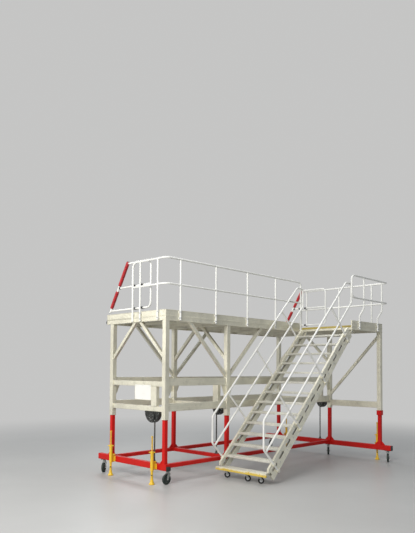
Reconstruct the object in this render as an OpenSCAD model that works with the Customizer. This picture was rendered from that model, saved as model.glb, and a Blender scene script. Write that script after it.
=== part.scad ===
// Mobile aircraft stairs: a height-adjustable dock with a side stair on a wheeled base
// X runs along the dock, from the foot of the stair to the landing
// Y runs towards the aircraft, and the stair is on the -Y side
// Plan sizes are counted from the corner leg at the foot of the stair

/* [Frame] */
// Distance from the first to the second leg of a long side
short_bay = 1750; // [1500:10:2000]
// Distance from the second to the third leg of a long side
long_bay = 4020; // [3900:10:4400]
// Distance between the two long sides
frame_w = 1675; // [1500:5:1900]
// Distance from the long side to the leg under the landing's corner
landing_leg = 1425; // [1380:5:1600]
// Outside width of the aluminium leg sleeves
sleeve_w = 100; // [90:2:120]
// Wall of the leg sleeves
sleeve_wall = 5; // [4:0.5:8]
// Width of the steel legs that slide in the sleeves
leg_w = 80; // [70:1:82]
// Length of the steel legs
leg_len = 1750; // [1500:10:1900]
// Height of the sleeves' lower ends above the floor
sleeve_z = 1232; // [1150:2:1300]
// Length of the wear pads in the mouth of each sleeve
pad_len = 120; // [60:10:200]
// Running gap between a wear pad and its steel leg
pad_gap = 0.3; // [0.2:0.05:0.5]

/* [Base] */
// Width of the base's cross beams
base_w = 100; // [90:5:130]
// Depth of the base's cross beams
base_d = 120; // [100:5:150]
// Height of the base's top face above the floor
base_top = 390; // [380:5:420]
// Side of the square beams that join the cross beams
side_beam = 80; // [60:5:90]
// How far the base runs past the legs on the aircraft side
base_far_out = 424; // [400:4:500]
// How far the base runs past the corner leg at the foot of the stair
base_near_out = 92; // [90:2:140]
// How far the base runs past the leg under the landing's corner
landing_out = 310; // [280:5:360]

/* [Main castors] */
// Diameter of the main wheels
wheel_d = 200; // [160:10:210]
// Width of the main wheels' treads
wheel_w = 50; // [40:2:60]
// Distance from a main castor's swivel to its wheel's centre
wheel_trail = 42; // [30:2:60]
// Distance from the far legs to the castors beyond them
castor_far = 270; // [200:5:330]
// Distance from the landing's corner leg to the castor beyond it
castor_landing = 205; // [160:5:220]

/* [Jacks and lift] */
// Distance from a leg's centre line out to a jack's
jack_out = 150; // [145:5:180]
// Diameter of the jacks' lower tubes
jack_d = 45; // [38:1:50]
// Diameter of the jacks' screws
jack_screw = 30; // [22:1:34]
// Overall height of a jack
jack_h = 920; // [800:10:1000]
// Diameter of the jacks' feet
jack_foot = 120; // [100:5:140]
// Height of the jack sleeves' upper ends
jack_sleeve_top = 590; // [550:10:640]
// How far the jacks screw up from the floor
jack_travel = 120; // [60:5:120]
// Distance from the near long side to the lift spindles
lift_y = 300; // [260:10:360]
// Diameter of the lift spindles
lift_d = 30; // [25:1:36]
// Travel of the lift, up and down from the middle
lift_stroke = 280; // [150:10:280]
// Thickness of the lift drives' housings
drive_t = 70; // [60:2:90]
// Width of the tubular columns over the spindles
column_w = 160; // [120:5:170]
// Depth of those columns
column_d = 80; // [60:5:90]

/* [Deck] */
// Height of the walking surface above the floor
deck_h = 3240; // [3200:10:3300]
// Depth of the deck's edge beams
deck_beam = 90; // [80:5:120]
// Thickness of the deck planks
plank_t = 30; // [20:2:40]
// Width of a deck plank with its joint
plank_pitch = 224; // [150:2:300]
// Height of the toe boards above the deck
toe_h = 120; // [100:5:150]
// Thickness of the toe boards
toe_t = 25; // [15:1:30]
// How far the deck runs past the far legs, without its bumper
deck_far_out = 170; // [150:5:300]
// Thickness of the bumper on the aircraft side
bumper_t = 35; // [20:1:60]
// Distance from the third leg back to the landing's edge
landing_len = 1390; // [1350:10:1440]

/* [Mid beams] */
// Depth of the long sides' mid beams
long_beam_d = 150; // [120:5:160]
// Thickness of the mid beams
mid_beam_t = 50; // [40:2:60]
// Depth of the cross frames' mid beams
cross_beam_d = 100; // [80:5:120]
// Height of the lower long beams' undersides
low_beam_z = 1390; // [1370:5:1420]
// Height of the upper long beams' undersides
high_beam_z = 1880; // [1850:5:1950]
// Width of the diagonal braces
brace_w = 60; // [40:2:70]

/* [Guard rails] */
// Height of the top rails' centre line above the deck
rail_h = 1125; // [1100:5:1150]
// Height of the mid rails' centre line above the deck
mid_rail_h = 620; // [550:5:700]
// Diameter of the posts and top rails
rail_d = 42; // [38:1:44]
// Diameter of the mid rails
mid_rail_d = 38; // [30:1:40]
// Distance from the first leg to the first post of the long side
post_first = 312; // [280:2:350]
// Radius of the rails' bends
rail_bend = 110; // [90:5:140]
// How far the landing's rail stands out from its fascia
landing_rail_out = 136; // [130:2:160]
// How far the landing's rail runs back past the landing's edge
landing_rail_back = 230; // [150:10:260]

/* [Sliding guards] */
// Distance from a sliding guard's rear upright to its front pole's foot
guard_len = 1330; // [1250:10:1400]
// Place of the left guard's rear upright, from the near long side
guard_left_y = 460; // [440:5:480]
// Place of the right guard's rear upright, from the near long side
guard_right_y = 130; // [110:5:150]
// Diameter of the padding on the front poles
guard_pad_d = 72; // [60:2:90]
// Lean of the front poles from upright
guard_lean = 31; // [20:1:34]

/* [Stair] */
// Number of treads between the bottom step and the deck
tread_count = 13; // [12:1:14]
// Height of the bottom step above the floor
step_z = 225; // [215:5:235]
// Slope of the stair
stair_slope = 45; // [44:0.5:46]
// Distance from the landing's edge to the stair's nosing line at deck height
stair_set = 90; // [80:2:110]
// Depth of a tread
tread_len = 250; // [200:5:260]
// Thickness of a tread
tread_t = 38; // [30:1:45]
// Width of the treads
tread_w = 1203; // [1180:1:1210]
// Thickness of the stringers
stringer_t = 45; // [40:1:50]
// Distance from the long side's centre line to the far stringer
stringer_gap = 152; // [148:1:160]
// Depth of the stringers' upper chord
chord_top = 75; // [65:5:85]
// Depth of the stringers' lower chord
chord_low = 120; // [100:5:130]
// Depth of the slotted web between the chords
web_d = 75; // [70:5:85]
// Height of the slots in the web
slot_h = 50; // [36:2:60]
// Length of the slots in the web
slot_len = 190; // [120:5:200]
// Height of the handrails above the nosing line, square to the slope
hand_n = 792; // [770:2:810]
// Height of the mid handrails above the nosing line, square to the slope
hand_mid_n = 318; // [300:2:340]
// Distance from the last handrail post up to the hinge, along the slope
hand_end = 275; // [240:5:400]
// Diameter of the stair castors' wheels
step_wheel_d = 125; // [110:5:130]
// Width of the stair castors' wheels
step_wheel_w = 32; // [26:1:40]

/* [Hidden] */
$fn = 24;

ALU = [0.80, 0.79, 0.74];
WHITE = [0.90, 0.90, 0.88];
RED = [0.62, 0.07, 0.05];
YELLOW = [0.90, 0.72, 0.12];
BLACK = [0.06, 0.06, 0.06];
ZINC = [0.62, 0.63, 0.64];

// Plan places of the legs, as [x, y]
x_mid = short_bay;
x_end = short_bay + long_bay;
y_far = frame_w;
y_land = -landing_leg;
half = sleeve_w / 2;
LEGS = [[0, 0], [0, y_far], [x_mid, 0], [x_mid, y_far], [x_end, 0], [x_end, y_far], [x_end, y_land]];
// Running play of pins, axles and spindles, on the radius
play = 0.1;
// Seam left between welded pieces
seam = 0.3;

// Base
base_y0 = -base_near_out;
base_y1 = y_far + base_far_out;
base_y_land = y_land - landing_out;
base_low = base_top - base_d;

// The part's origin is on the floor under the middle of its box
centre_x = x_end / 2;
centre_y = (base_y_land + base_y1) / 2;

// Main castors as [x, y, heading of the wheel from its swivel]
CASTORS = [
    [(base_w + side_beam) / 2, 0, 183],
    [0, y_far + castor_far, 216],
    [x_end, 45, 212],
    [x_end, y_land - castor_landing, 207],
    [x_end, y_far + castor_far, 200]];
plate_t = 8;
plate_l = 130;
plate_w = base_w - 4;
castor_top = base_low - plate_t;
axle_d = 16;
hub_gap = 5;
cheek_t = 5;
end_cap = 8;
// Gussets at the feet of the steel legs
foot_gusset = 90;
gusset_t = 10;

// Jacks as [x, y, side of the beam on which they stand]
jack_play = 0.3;
jack_wall = 9;
jack_low = base_low - 10;
jack_nut = 40;
jack_neck = jack_sleeve_top - 10;
jack_thick_top = jack_neck - jack_travel - 15;
jack_hole = 18;
jack_top_hole = 12;
jack_hole_z = 175;
JACKS = [
    [-jack_out, 195, -1],
    [-jack_out, y_far - 160, -1],
    [x_end + jack_out, y_land + 155, 1],
    [x_end + jack_out, y_far - 160, 1]];

// Lift drives as [x, from the spindle to the housing's middle, radius of the housing]
DRIVES = [[0, 48, 215], [x_mid, -62, 145], [x_end, -62, 145]];
lift_foot_t = 12;
column_wall = 6;

// Deck outline
edge_w = 50;
joist_w = 40;
joist_count = 9;
landing_joists = 3;
deck_x0 = -half;
deck_x1 = x_end + half;
deck_y0 = -half;
deck_y1 = y_far + deck_far_out;
land_x = x_end - landing_len;
land_y = y_land - half;
beam_z = deck_h - deck_beam;
plank_z = deck_h - plank_t;
toe_top = deck_h + toe_h;
plank_gap = 4;

// Mid beams and braces
cross_low_z = low_beam_z - 10;
cross_high_z = high_beam_z - 15;
land_beam_z = low_beam_z - 100;
brace_foot_z = high_beam_z + long_beam_d + 50;
knee = 700;
land_brace_z = land_beam_z + long_beam_d + 170;
spindle_top = cross_high_z - lift_stroke - 35;
// Gussets under the upper long beams
beam_gusset_w = 120;
beam_gusset_h = 190;
// Collar under the sleeve of the landing's corner leg
collar_h = 115;
collar_w = 118;
// Notice board on the first cross frame
board_w = 500;
board_h = 300;
board_t = 5;

// Guard rails
post_d = rail_d - 2;
saddle_w = 60;
rail_z = deck_h + rail_h;
mid_z = deck_h + mid_rail_h;
rail_foot = beam_z + 12;
rail_x0 = deck_x0 - rail_d / 2;
rail_x1 = deck_x1 + rail_d / 2;
rail_y0 = deck_y0 - rail_d / 2;
post_last = land_x - rail_d / 2 - 1;
LONG_SPANS = 4;
LEFT_POSTS = [174, 713];
left_end = 950;
RIGHT_POSTS = [-1180, -245, 768];
right_end = 950;
land_rail_y = land_y - landing_rail_out;
land_rail_x = land_x - landing_rail_back;
land_stub_y = land_y - rail_d / 2;
crank_top = deck_h + 410;
crank_low = deck_h + 230;
LAND_POSTS = [land_x + 310, x_end - 220];
// Posts as [x, y, way out of the fascia in x, and in y]
POSTS = concat(
    [for (i = [0 : LONG_SPANS - 1]) [post_first + i * (post_last - post_first) / LONG_SPANS, rail_y0, 0, -1]],
    [for (y = LEFT_POSTS) [rail_x0, y, -1, 0]],
    [for (y = RIGHT_POSTS) [rail_x1, y, 1, 0]]);
// Posts at the ends of the rails, in the same way
END_POSTS = [[post_last, rail_y0, 0, -1], [rail_x0, left_end, -1, 0], [rail_x1, right_end, 1, 0]];
// Centre lines of the bent rails
LONG_TOP = [[post_last, rail_y0, rail_foot], [post_last, rail_y0, rail_z], [rail_x0, rail_y0, rail_z],
    [rail_x0, left_end, rail_z], [rail_x0, left_end, rail_foot]];
LONG_MID = [[post_last, rail_y0, mid_z], [rail_x0, rail_y0, mid_z], [rail_x0, left_end, mid_z]];
LANDING = [[rail_x1, right_end, mid_z], [rail_x1, land_rail_y, mid_z], [land_rail_x, land_rail_y, mid_z],
    [land_rail_x, land_rail_y, rail_z], [rail_x1, land_rail_y, rail_z], [rail_x1, right_end, rail_z],
    [rail_x1, right_end, rail_foot]];

// Sliding guards
guard_step = 66;
guard_tube = 38;
guard_low = toe_top + 80;
guard_mid = mid_z + 45;
guard_top = rail_z + 30;
pole_d = 42;
pole_low = guard_low - 35;
pole_high = guard_top + 40;
pad_play = 0.3;
left_guard_x = rail_x0 + guard_step;
right_guard_x = rail_x1 - guard_step;
// Lower and upper ends of the pads
PADS = [[guard_low + 60, guard_mid - 65], [guard_mid + 50, guard_top - 50]];
clamp_w = 40;
clamp_h = 46;

// Stair geometry in the plane of a stringer
rise = (deck_h - step_z) / (tread_count + 1);
going = rise / tan(stair_slope);
nose_x = land_x - stair_set - (tread_count + 1) * going;
slope_u = [cos(stair_slope), sin(stair_slope)];
slope_n = [-sin(stair_slope), cos(stair_slope)];
n_web = -chord_top;
n_low = n_web - web_d;
n_base = n_low - chord_low;
web_t = 12;
slot_shift = -40;
stringer_foot = 75;
web_foot = 110;
far_in = -stringer_gap - stringer_t;
near_in = far_in - tread_w;
near_out = near_in - stringer_t;
post_gap = 1;
hand_far_y = -stringer_gap + rail_d / 2 + post_gap;
hand_near_y = near_out - rail_d / 2 - post_gap;
// Point of the stair's plane at distance s up the slope and n above the nosing line
function at(s, n) = [nose_x, step_z] + s * slope_u + n * slope_n;
// The same point as [x, y, z] at place y
function at3(s, n, y) = [at(s, n).x, y, at(s, n).y];
// Distance up the slope at which the line n above the nosing line is at place x
function s_at_x(x, n) = (x - nose_x - n * slope_n.x) / slope_u.x;

// Hinge between the stair and the landing
hinge_x = land_x + 20;
hinge_z = beam_z - 60;
hinge_pin = 24;
hinge_eye = 36;
hinge_side = 5;
lug_t = 12;
hinge_s = ([hinge_x, hinge_z] - [nose_x, step_z]) * slope_u;
hinge_n = ([hinge_x, hinge_z] - [nose_x, step_z]) * slope_n;
stringer_end = hinge_s - 48;
stringer_front = nose_x + 85;
step_front = nose_x + 12;

// Handrails
hand_bend = 90;
hand_low_x = nose_x - 95;
hand_high_x = land_x - 10;
hand_turn_x = land_x - 250;
link_s = 270;
link_n = -(hand_low_x - nose_x - link_s * slope_u.x) / slope_u.y;
HAND_COUNT = 3;
HAND_POSTS = [for (i = [1 : HAND_COUNT]) i * (hinge_s - hand_end) / HAND_COUNT];
HAND_YS = [hand_near_y, hand_far_y];
hand_low_s = s_at_x(hand_low_x, hand_n);
hand_turn_s = s_at_x(hand_turn_x, hand_n);
hand_mid_s = s_at_x(hand_high_x, hand_mid_n);
hand_top_z = at(hand_turn_s, hand_n).y;
// Centre line of a handrail in the plane y
function hand_path(y) = [at3(link_s, n_base + 10, y), at3(link_s, link_n, y), at3(hand_low_s, hand_n, y),
    at3(hand_turn_s, hand_n, y), [hand_high_x, y, hand_top_z], at3(hand_mid_s, hand_mid_n, y),
    at3(link_s, hand_mid_n, y)];
clamp_n = [-chord_top / 2, n_low - chord_low / 2];

// Bottom step and its castors as [y, heading of the wheel from its swivel]
step_t = 55;
step_len = 250;
nosing_t = 25;
step_castor_x = nose_x + 125;
STEP_CASTORS = [
    [near_in + 210, -40],
    [near_in + 545, -47],
    [far_in - 110, -43]];
step_trail = 30;
step_plate_t = 6;
step_castor_top = step_z - step_t - step_plate_t;
step_axle_d = 12;

// Solid box from corner to corner
module block(a, b) { translate(a) cube(b - a); }

// Rounded rectangle centred on the origin
module rounded(w, d, r)
{
    square([w - 2 * r, d], center = true);
    square([w, d - 2 * r], center = true);
    for (x = [-1, 1], y = [-1, 1]) translate([x * (w / 2 - r), y * (d / 2 - r)]) circle(r);
}

// Upright, lengthwise and crosswise bars of rounded section
module post_bar(x, y, z0, z1, w, r = 6)
{
    translate([x, y, z0]) linear_extrude(z1 - z0) rounded(w, w, r);
}
module long_bar(x0, x1, y, z, w, d, r = 6)
{
    translate([x0, y, z]) rotate([90, 0, 90]) linear_extrude(x1 - x0) rounded(w, d, r);
}
module cross_bar(x, y0, y1, z, w, d, r = 6)
{
    translate([x, y1, z]) rotate([90, 0, 0]) linear_extrude(y1 - y0) rounded(w, d, r);
}

// Square bar from p to q, run on past both ends by extra
module slant_bar(p, q, w, extra)
{
    v = q - p;
    len_v = norm(v);
    translate(p) rotate([0, acos(v.z / len_v), atan2(v.y, v.x)])
        translate([0, 0, -extra]) linear_extrude(len_v + 2 * extra) square(w, center = true);
}

// Round bar from p to q
module rod(p, q, d)
{
    v = q - p;
    len_v = norm(v);
    translate(p) rotate([0, acos(v.z / len_v), atan2(v.y, v.x)]) cylinder(h = len_v, d = d);
}

// Round bar through a list of points, with bends of radius bend
// An elbow is wider than its tubes by a lip, and laps over their ends
elbow_lip = 0.2;
elbow_lap = 3;
function unit(v) = v / norm(v);
function turn(a, b, c) = acos(max(-1, min(1, unit(b - a) * unit(c - b))));
function setback(a, b, c, bend) = bend * tan(turn(a, b, c) / 2);
module elbow(a, b, c, d, bend)
{
    u = unit(b - a);
    n = unit(cross(u, unit(c - b)));
    m = cross(n, u);
    o = b - u * setback(a, b, c, bend) + m * bend;
    multmatrix([[-m.x, u.x, n.x, o.x], [-m.y, u.y, n.y, o.y], [-m.z, u.z, n.z, o.z], [0, 0, 0, 1]])
        rotate_extrude(angle = turn(a, b, c), $fn = 48) translate([bend, 0]) circle(d = d, $fn = 24);
}
module bent_tube(pts, d, bend)
{
    last = len(pts) - 1;
    for (i = [0 : last - 1])
    {
        a = i == 0 ? 0 : setback(pts[i - 1], pts[i], pts[i + 1], bend) - elbow_lap;
        b = i == last - 1 ? 0 : setback(pts[i], pts[i + 1], pts[i + 2], bend) - elbow_lap;
        u = unit(pts[i + 1] - pts[i]);
        rod(pts[i] + a * u, pts[i + 1] - b * u, d);
    }
    tube_bends(pts, d + 2 * elbow_lip, bend);
}
// The same bar in separate pieces: its straight runs from number first to last, and its bends
module tube_runs(pts, d, bend, first, last)
{
    end = len(pts) - 2;
    for (i = [first : last])
    {
        a = i == 0 ? 0 : setback(pts[i - 1], pts[i], pts[i + 1], bend);
        b = i == end ? 0 : setback(pts[i], pts[i + 1], pts[i + 2], bend);
        u = unit(pts[i + 1] - pts[i]);
        rod(pts[i] + a * u, pts[i + 1] - b * u, d);
    }
}
module tube_bends(pts, d, bend)
{
    for (i = [1 : len(pts) - 2]) elbow(pts[i - 1], pts[i], pts[i + 1], d, bend);
}

// Moves the plan origin from the corner leg to the middle of the part's box
module placed() { translate([-centre_x, -centre_y, 0]) children(); }

// Red wheeled base: three cross beams, with the side beams between them
module base_frame()
{
    z = base_top - base_d / 2;
    side_z = base_top - side_beam / 2;
    side_x = base_w / 2 + seam;
    side_y = side_beam / 2 + seam;
    color(RED) placed()
    {
        cross_bar(0, base_y0, base_y1, z, base_w, base_d, 10);
        cross_bar(x_end, base_y_land + end_cap, base_y1, z, base_w, base_d, 10);
        for (y = [0, y_far]) long_bar(side_x, x_end - side_x, y, side_z, side_beam, side_beam, 8);
        cross_bar(x_mid, side_y, y_far - side_y, side_z, side_beam, side_beam, 8);
    }
}

// Plastic cap in the end of the base's long cross beam
module beam_cap()
{
    color(BLACK) placed()
        cross_bar(x_end, base_y_land, base_y_land + end_cap, base_top - base_d / 2, base_w - 2, base_d - 2, 9);
}

// Steel legs that stand on the base
module inner_legs()
{
    color(RED) placed() for (p = LEGS) post_bar(p.x, p.y, base_top, base_top + leg_len, leg_w, 8);
}

// Triangular gussets at the legs' feet, along the beam that each leg stands on
module foot_gusset(p, turn_z)
{
    out = leg_w / 2;
    translate([p.x, p.y, base_top]) rotate(turn_z) translate([0, gusset_t / 2, 0]) rotate([90, 0, 0])
        linear_extrude(gusset_t) polygon([[out, 0], [out + foot_gusset, 0], [out + foot_gusset, 12],
            [out + 12, foot_gusset], [out, foot_gusset]]);
}
module leg_gussets()
{
    color(RED) placed() for (p = LEGS)
    {
        if (p.x == x_mid) for (a = [0, 180]) foot_gusset(p, a);
        else for (a = p.x == 0 && p.y == 0 ? [90] : [90, -90]) foot_gusset(p, a);
    }
}

// Plates that carry the main castors under the base
module castor_plates()
{
    corner = CASTORS[0];
    color(BLACK) placed()
    {
        for (i = [1 : len(CASTORS) - 1]) translate([CASTORS[i].x, CASTORS[i].y, castor_top])
            linear_extrude(plate_t) rounded(plate_w, plate_l, 8);
        translate([corner.x, corner.y, castor_top]) linear_extrude(base_top - side_beam - castor_top)
            rounded(side_beam - 1, side_beam - 1, 8);
    }
}

// Castor fork with its cheeks: the crown bridges the wheel and the cheeks reach down to the axle
module fork_body(d, w, trail, top, axle)
{
    inner = w / 2 + 2 + hub_gap;
    outer = inner + cheek_t;
    crown = d + 8;
    back = 0.62 * w;
    eye = 0.8 * axle;
    translate([0, 0, crown]) cylinder(h = top - crown, r = 0.7 * w);
    block([-back, -outer, crown], [back, outer, crown + 8]);
    for (y = [-outer, inner]) translate([0, y + cheek_t, 0]) rotate([90, 0, 0]) linear_extrude(cheek_t)
    {
        polygon([[-back, crown + 8], [-back, crown - 0.1 * d], [trail - eye, d / 2], [trail + eye, d / 2],
            [trail + eye, 0.8 * d], [back, crown + 8]]);
        translate([trail, d / 2]) circle(eye);
    }
    translate([trail, outer + 6, d / 2]) rotate([90, 0, 0]) cylinder(h = 2 * outer + 12, d = axle);
}

// Wheel of a castor about its axle: tread, recessed disc, hub and bore
module castor_wheel(d, w, axle)
{
    hub = w / 2 + 2;
    rotate([90, 0, 0]) difference()
    {
        rotate_extrude($fn = 64) polygon([[0, -hub], [0.15 * d, -hub], [0.15 * d, -w / 4],
            [0.34 * d, -w / 4], [0.36 * d, -w / 2], [0.46 * d, -w / 2], [0.5 * d, -w / 2 + 0.05 * d],
            [0.5 * d, w / 2 - 0.05 * d], [0.46 * d, w / 2], [0.36 * d, w / 2], [0.34 * d, w / 4],
            [0.15 * d, w / 4], [0.15 * d, hub], [0, hub]]);
        cylinder(h = 2 * w, d = axle + 2 * play, center = true);
    }
}

module main_fork(c)
{
    color(BLACK) placed() translate([c.x, c.y, 0]) rotate(c.z)
        fork_body(wheel_d, wheel_w, wheel_trail, castor_top - seam, axle_d);
}
module main_wheel(c)
{
    color(BLACK) placed() translate([c.x, c.y, 0]) rotate(c.z) translate([wheel_trail, 0, wheel_d / 2])
        castor_wheel(wheel_d, wheel_w, axle_d);
}

// Sleeves in which the jacks slide, with a two-handled nut on top
module jack_sleeves()
{
    color(YELLOW) placed() for (j = JACKS) translate([j.x, j.y, 0]) difference()
    {
        union()
        {
            translate([0, 0, jack_low]) cylinder(h = jack_sleeve_top - jack_low, d = jack_d + 2 * jack_wall);
            translate([0, 0, jack_sleeve_top]) cylinder(h = jack_nut, d = jack_d + 24);
            translate([0, 0, jack_sleeve_top + jack_nut / 2]) rotate([90, 0, 45 * j.z])
                cylinder(h = 2.6 * jack_d, d = 20, center = true);
        }
        cylinder(h = jack_neck, d = jack_d + 2 * jack_play);
        cylinder(h = jack_h, d = jack_screw + 2 * jack_play);
    }
}

// Brackets between the base's cross beams and the jacks' sleeves
module jack_brackets()
{
    color(YELLOW) placed() for (j = JACKS) difference()
    {
        beam_x = j.x - j.z * (jack_out - base_w / 2);
        block([min(j.x, beam_x), j.y - 30, jack_low + 10], [max(j.x, beam_x), j.y + 30, base_top + 50]);
        translate([j.x, j.y, 0]) cylinder(h = jack_h, d = jack_d + 2 * jack_wall + 2 * seam);
    }
}

// Screw jack: bell foot, lower tube and screw, with the holes of its turning bar
module jack(j)
{
    color(YELLOW) placed() translate([j.x, j.y, 0]) difference()
    {
        rotate_extrude($fn = 48) polygon([[0, 0], [jack_foot / 2, 0], [jack_foot / 2, 12],
            [jack_d / 2 + 8, 90], [jack_d / 2, 140], [jack_d / 2, jack_thick_top],
            [jack_screw / 2, jack_thick_top + 10], [jack_screw / 2, jack_h - 30],
            [jack_screw / 2 + 4, jack_h - 26], [jack_screw / 2 + 4, jack_h], [0, jack_h]]);
        for (hole = [[jack_hole_z, jack_hole], [jack_h - 13, jack_top_hole]])
            translate([0, 0, hole[0]]) rotate([90, 0, 45]) cylinder(h = 2 * jack_d, d = hole[1], center = true);
    }
}

// Bore of the lift spindles, through what slides on them
module spindle_bores()
{
    for (d = DRIVES) translate([d.x, lift_y, 0]) cylinder(h = deck_h, d = lift_d + 2 * play);
}

// Spindles of the lift, on their feet
module lift_spindles()
{
    color(BLACK) placed() for (d = DRIVES) translate([d.x, lift_y, base_top])
    {
        linear_extrude(lift_foot_t) rounded(side_beam - 16, side_beam, 6);
        cylinder(h = spindle_top - base_top, d = lift_d);
    }
}

// Half-round housings of the lift's drives, hung under the lower cross beams, each with a round hub
module lift_drives()
{
    color(BLACK) placed() difference()
    {
        for (d = DRIVES) translate([d.x, lift_y + d.y, cross_low_z])
        {
            intersection()
            {
                translate([-drive_t / 2, 0, 0]) rotate([0, 90, 0]) cylinder(h = drive_t, r = d.z);
                block([-drive_t, -2 * d.z, -2 * d.z], [drive_t, 2 * d.z, 0]);
            }
            translate([-drive_t / 2 - 20, 0, -0.47 * d.z]) rotate([0, 90, 0])
                cylinder(h = drive_t + 40, r = 0.42 * d.z);
        }
        spindle_bores();
    }
}

// Tubular columns that cover the spindles between the cross beams
module lift_columns()
{
    color(ALU) placed() for (d = DRIVES) translate([d.x, lift_y, cross_low_z + cross_beam_d])
        linear_extrude(cross_high_z - cross_low_z - cross_beam_d) difference()
        {
            rounded(column_d, column_w, 6);
            square([column_d - 2 * column_wall, column_w - 2 * column_wall], center = true);
        }
}

// Square aluminium sleeves that slide on the steel legs
module outer_legs()
{
    color(ALU) placed() for (p = LEGS) translate([p.x, p.y, sleeve_z]) linear_extrude(beam_z - sleeve_z)
        difference()
        {
            rounded(sleeve_w, sleeve_w, 6);
            square(sleeve_w - 2 * sleeve_wall, center = true);
        }
}

// Wear pads in the mouths of the sleeves
module wear_pads()
{
    color(BLACK) placed() for (p = LEGS) translate([p.x, p.y, sleeve_z]) linear_extrude(pad_len)
        difference()
        {
            square(sleeve_w - 2 * sleeve_wall, center = true);
            square(leg_w + 2 * pad_gap, center = true);
        }
}

// Mid beams of the long sides and of the cross frames, and the one under the landing
module mid_beams()
{
    color(ALU) placed()
    {
        for (y = [0, y_far], z = [low_beam_z, high_beam_z], x = [[0, x_mid], [x_mid, x_end]])
            long_bar(x[0] + half, x[1] - half, y, z + long_beam_d / 2, mid_beam_t, long_beam_d);
        for (x = [0, x_mid, x_end])
            cross_bar(x, half, y_far - half, cross_high_z + cross_beam_d / 2, mid_beam_t, cross_beam_d);
        difference()
        {
            for (x = [0, x_mid, x_end])
                cross_bar(x, half, y_far - half, cross_low_z + cross_beam_d / 2, mid_beam_t, cross_beam_d);
            spindle_bores();
        }
        cross_bar(x_end, y_land + half, -half, land_beam_z + long_beam_d / 2, mid_beam_t, long_beam_d);
    }
}

// Collar round the landing's corner leg, under its sleeve
module leg_collar()
{
    color(RED) placed() translate([x_end, y_land, sleeve_z - collar_h]) linear_extrude(collar_h) difference()
    {
        rounded(collar_w, collar_w, 8);
        square(leg_w + 2 * pad_gap, center = true);
    }
}

// Plain notice board on the first cross frame
module notice_board()
{
    x = -mid_beam_t / 2;
    y = lift_y + column_w / 2 + 10;
    z = cross_high_z + 30;
    color(WHITE) placed() block([x - board_t, y, z - board_h], [x, y + board_w, z]);
}

// Braces that spread from the second legs up to the deck
module long_braces()
{
    run = beam_z - brace_foot_z;
    for (y = [0, y_far], side = [-1, 1]) intersection()
    {
        slant_bar([x_mid + side * half, y, brace_foot_z],
            [x_mid + side * (half + run), y, beam_z], brace_w, 100);
        block([x_mid + min(side * half, side * (half + 1.2 * run)), y - brace_w, brace_foot_z - 50],
            [x_mid + max(side * half, side * (half + 1.2 * run)), y + brace_w, beam_z]);
    }
}

// Drilled gussets in the corners between the legs and the upper long beams
module beam_gussets()
{
    for (y = [0, y_far], g = [[0, 1], [x_mid, -1], [x_mid, 1], [x_end, -1]])
        translate([g[0] + g[1] * half, y + gusset_t / 2, high_beam_z]) rotate([90, 0, 0])
            linear_extrude(gusset_t) difference()
            {
                polygon([[0, 0], [g[1] * beam_gusset_w, 0], [g[1] * beam_gusset_w, -20],
                    [g[1] * 50, -beam_gusset_h], [0, -beam_gusset_h]]);
                translate([g[1] * 28, 30 - beam_gusset_h]) circle(d = 20);
            }
}

// Knee braces of the cross frames and the long brace under the landing
module cross_braces()
{
    for (x = [0, x_mid, x_end], far = [0, 1])
    {
        y0 = far == 0 ? half : y_far - half;
        y1 = far == 0 ? half + knee : y_far - half - knee;
        intersection()
        {
            slant_bar([x, y0, beam_z - knee], [x, y1, beam_z], brace_w, 100);
            block([x - brace_w, half, cross_high_z], [x + brace_w, y_far - half, beam_z]);
        }
    }
    intersection()
    {
        slant_bar([x_end, -half, land_brace_z], [x_end, y_land + half, beam_z - 120], brace_w, 100);
        block([x_end - brace_w, y_land + half, land_beam_z], [x_end + brace_w, -half, beam_z]);
    }
}
module braces()
{
    color(ALU) placed()
    {
        long_braces();
        cross_braces();
        beam_gussets();
    }
}

// Edge beams of the deck and its landing
module deck_edges()
{
    in_y0 = deck_y0 + edge_w + seam;
    in_y1 = deck_y1 - edge_w - seam;
    land_in = land_y + edge_w + seam;
    color(ALU) placed()
    {
        block([deck_x0, deck_y0, beam_z], [deck_x1, deck_y0 + edge_w, deck_h]);
        block([deck_x0, deck_y1 - edge_w, beam_z], [deck_x1, deck_y1, deck_h]);
        block([land_x, land_y, beam_z], [deck_x1, land_y + edge_w, deck_h]);
        block([deck_x0, in_y0, beam_z], [deck_x0 + edge_w, in_y1, deck_h]);
        block([deck_x1 - edge_w, in_y0, beam_z], [deck_x1, in_y1, deck_h]);
        block([deck_x1 - edge_w, land_in, beam_z], [deck_x1, deck_y0 - seam, deck_h]);
        block([land_x, land_in, beam_z], [land_x + edge_w, deck_y0 - seam, deck_h]);
    }
}

// Joists under the planks, with wide ones on the legs
module joist(x, w, y0, y1) { block([x, y0, beam_z], [x + w, y1, plank_z]); }
module deck_joists()
{
    y0 = deck_y0 + edge_w;
    y1 = deck_y1 - edge_w;
    pitch = x_end / (joist_count + 1);
    color(ALU) placed()
    {
        joist(deck_x0 + edge_w, edge_w, y0, y1);
        joist(x_mid - half, sleeve_w, y0, y1);
        joist(deck_x1 - 2 * edge_w, edge_w, y0, y1);
        for (i = [1 : joist_count]) if (abs(i * pitch - x_mid) > sleeve_w)
            joist(i * pitch - joist_w / 2, joist_w, y0, y1);
        for (i = [1 : landing_joists])
        {
            x = land_x + i * landing_len / (landing_joists + 1) - joist_w / 2;
            joist(x, joist_w, land_y + edge_w, deck_y0);
        }
    }
}

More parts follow.
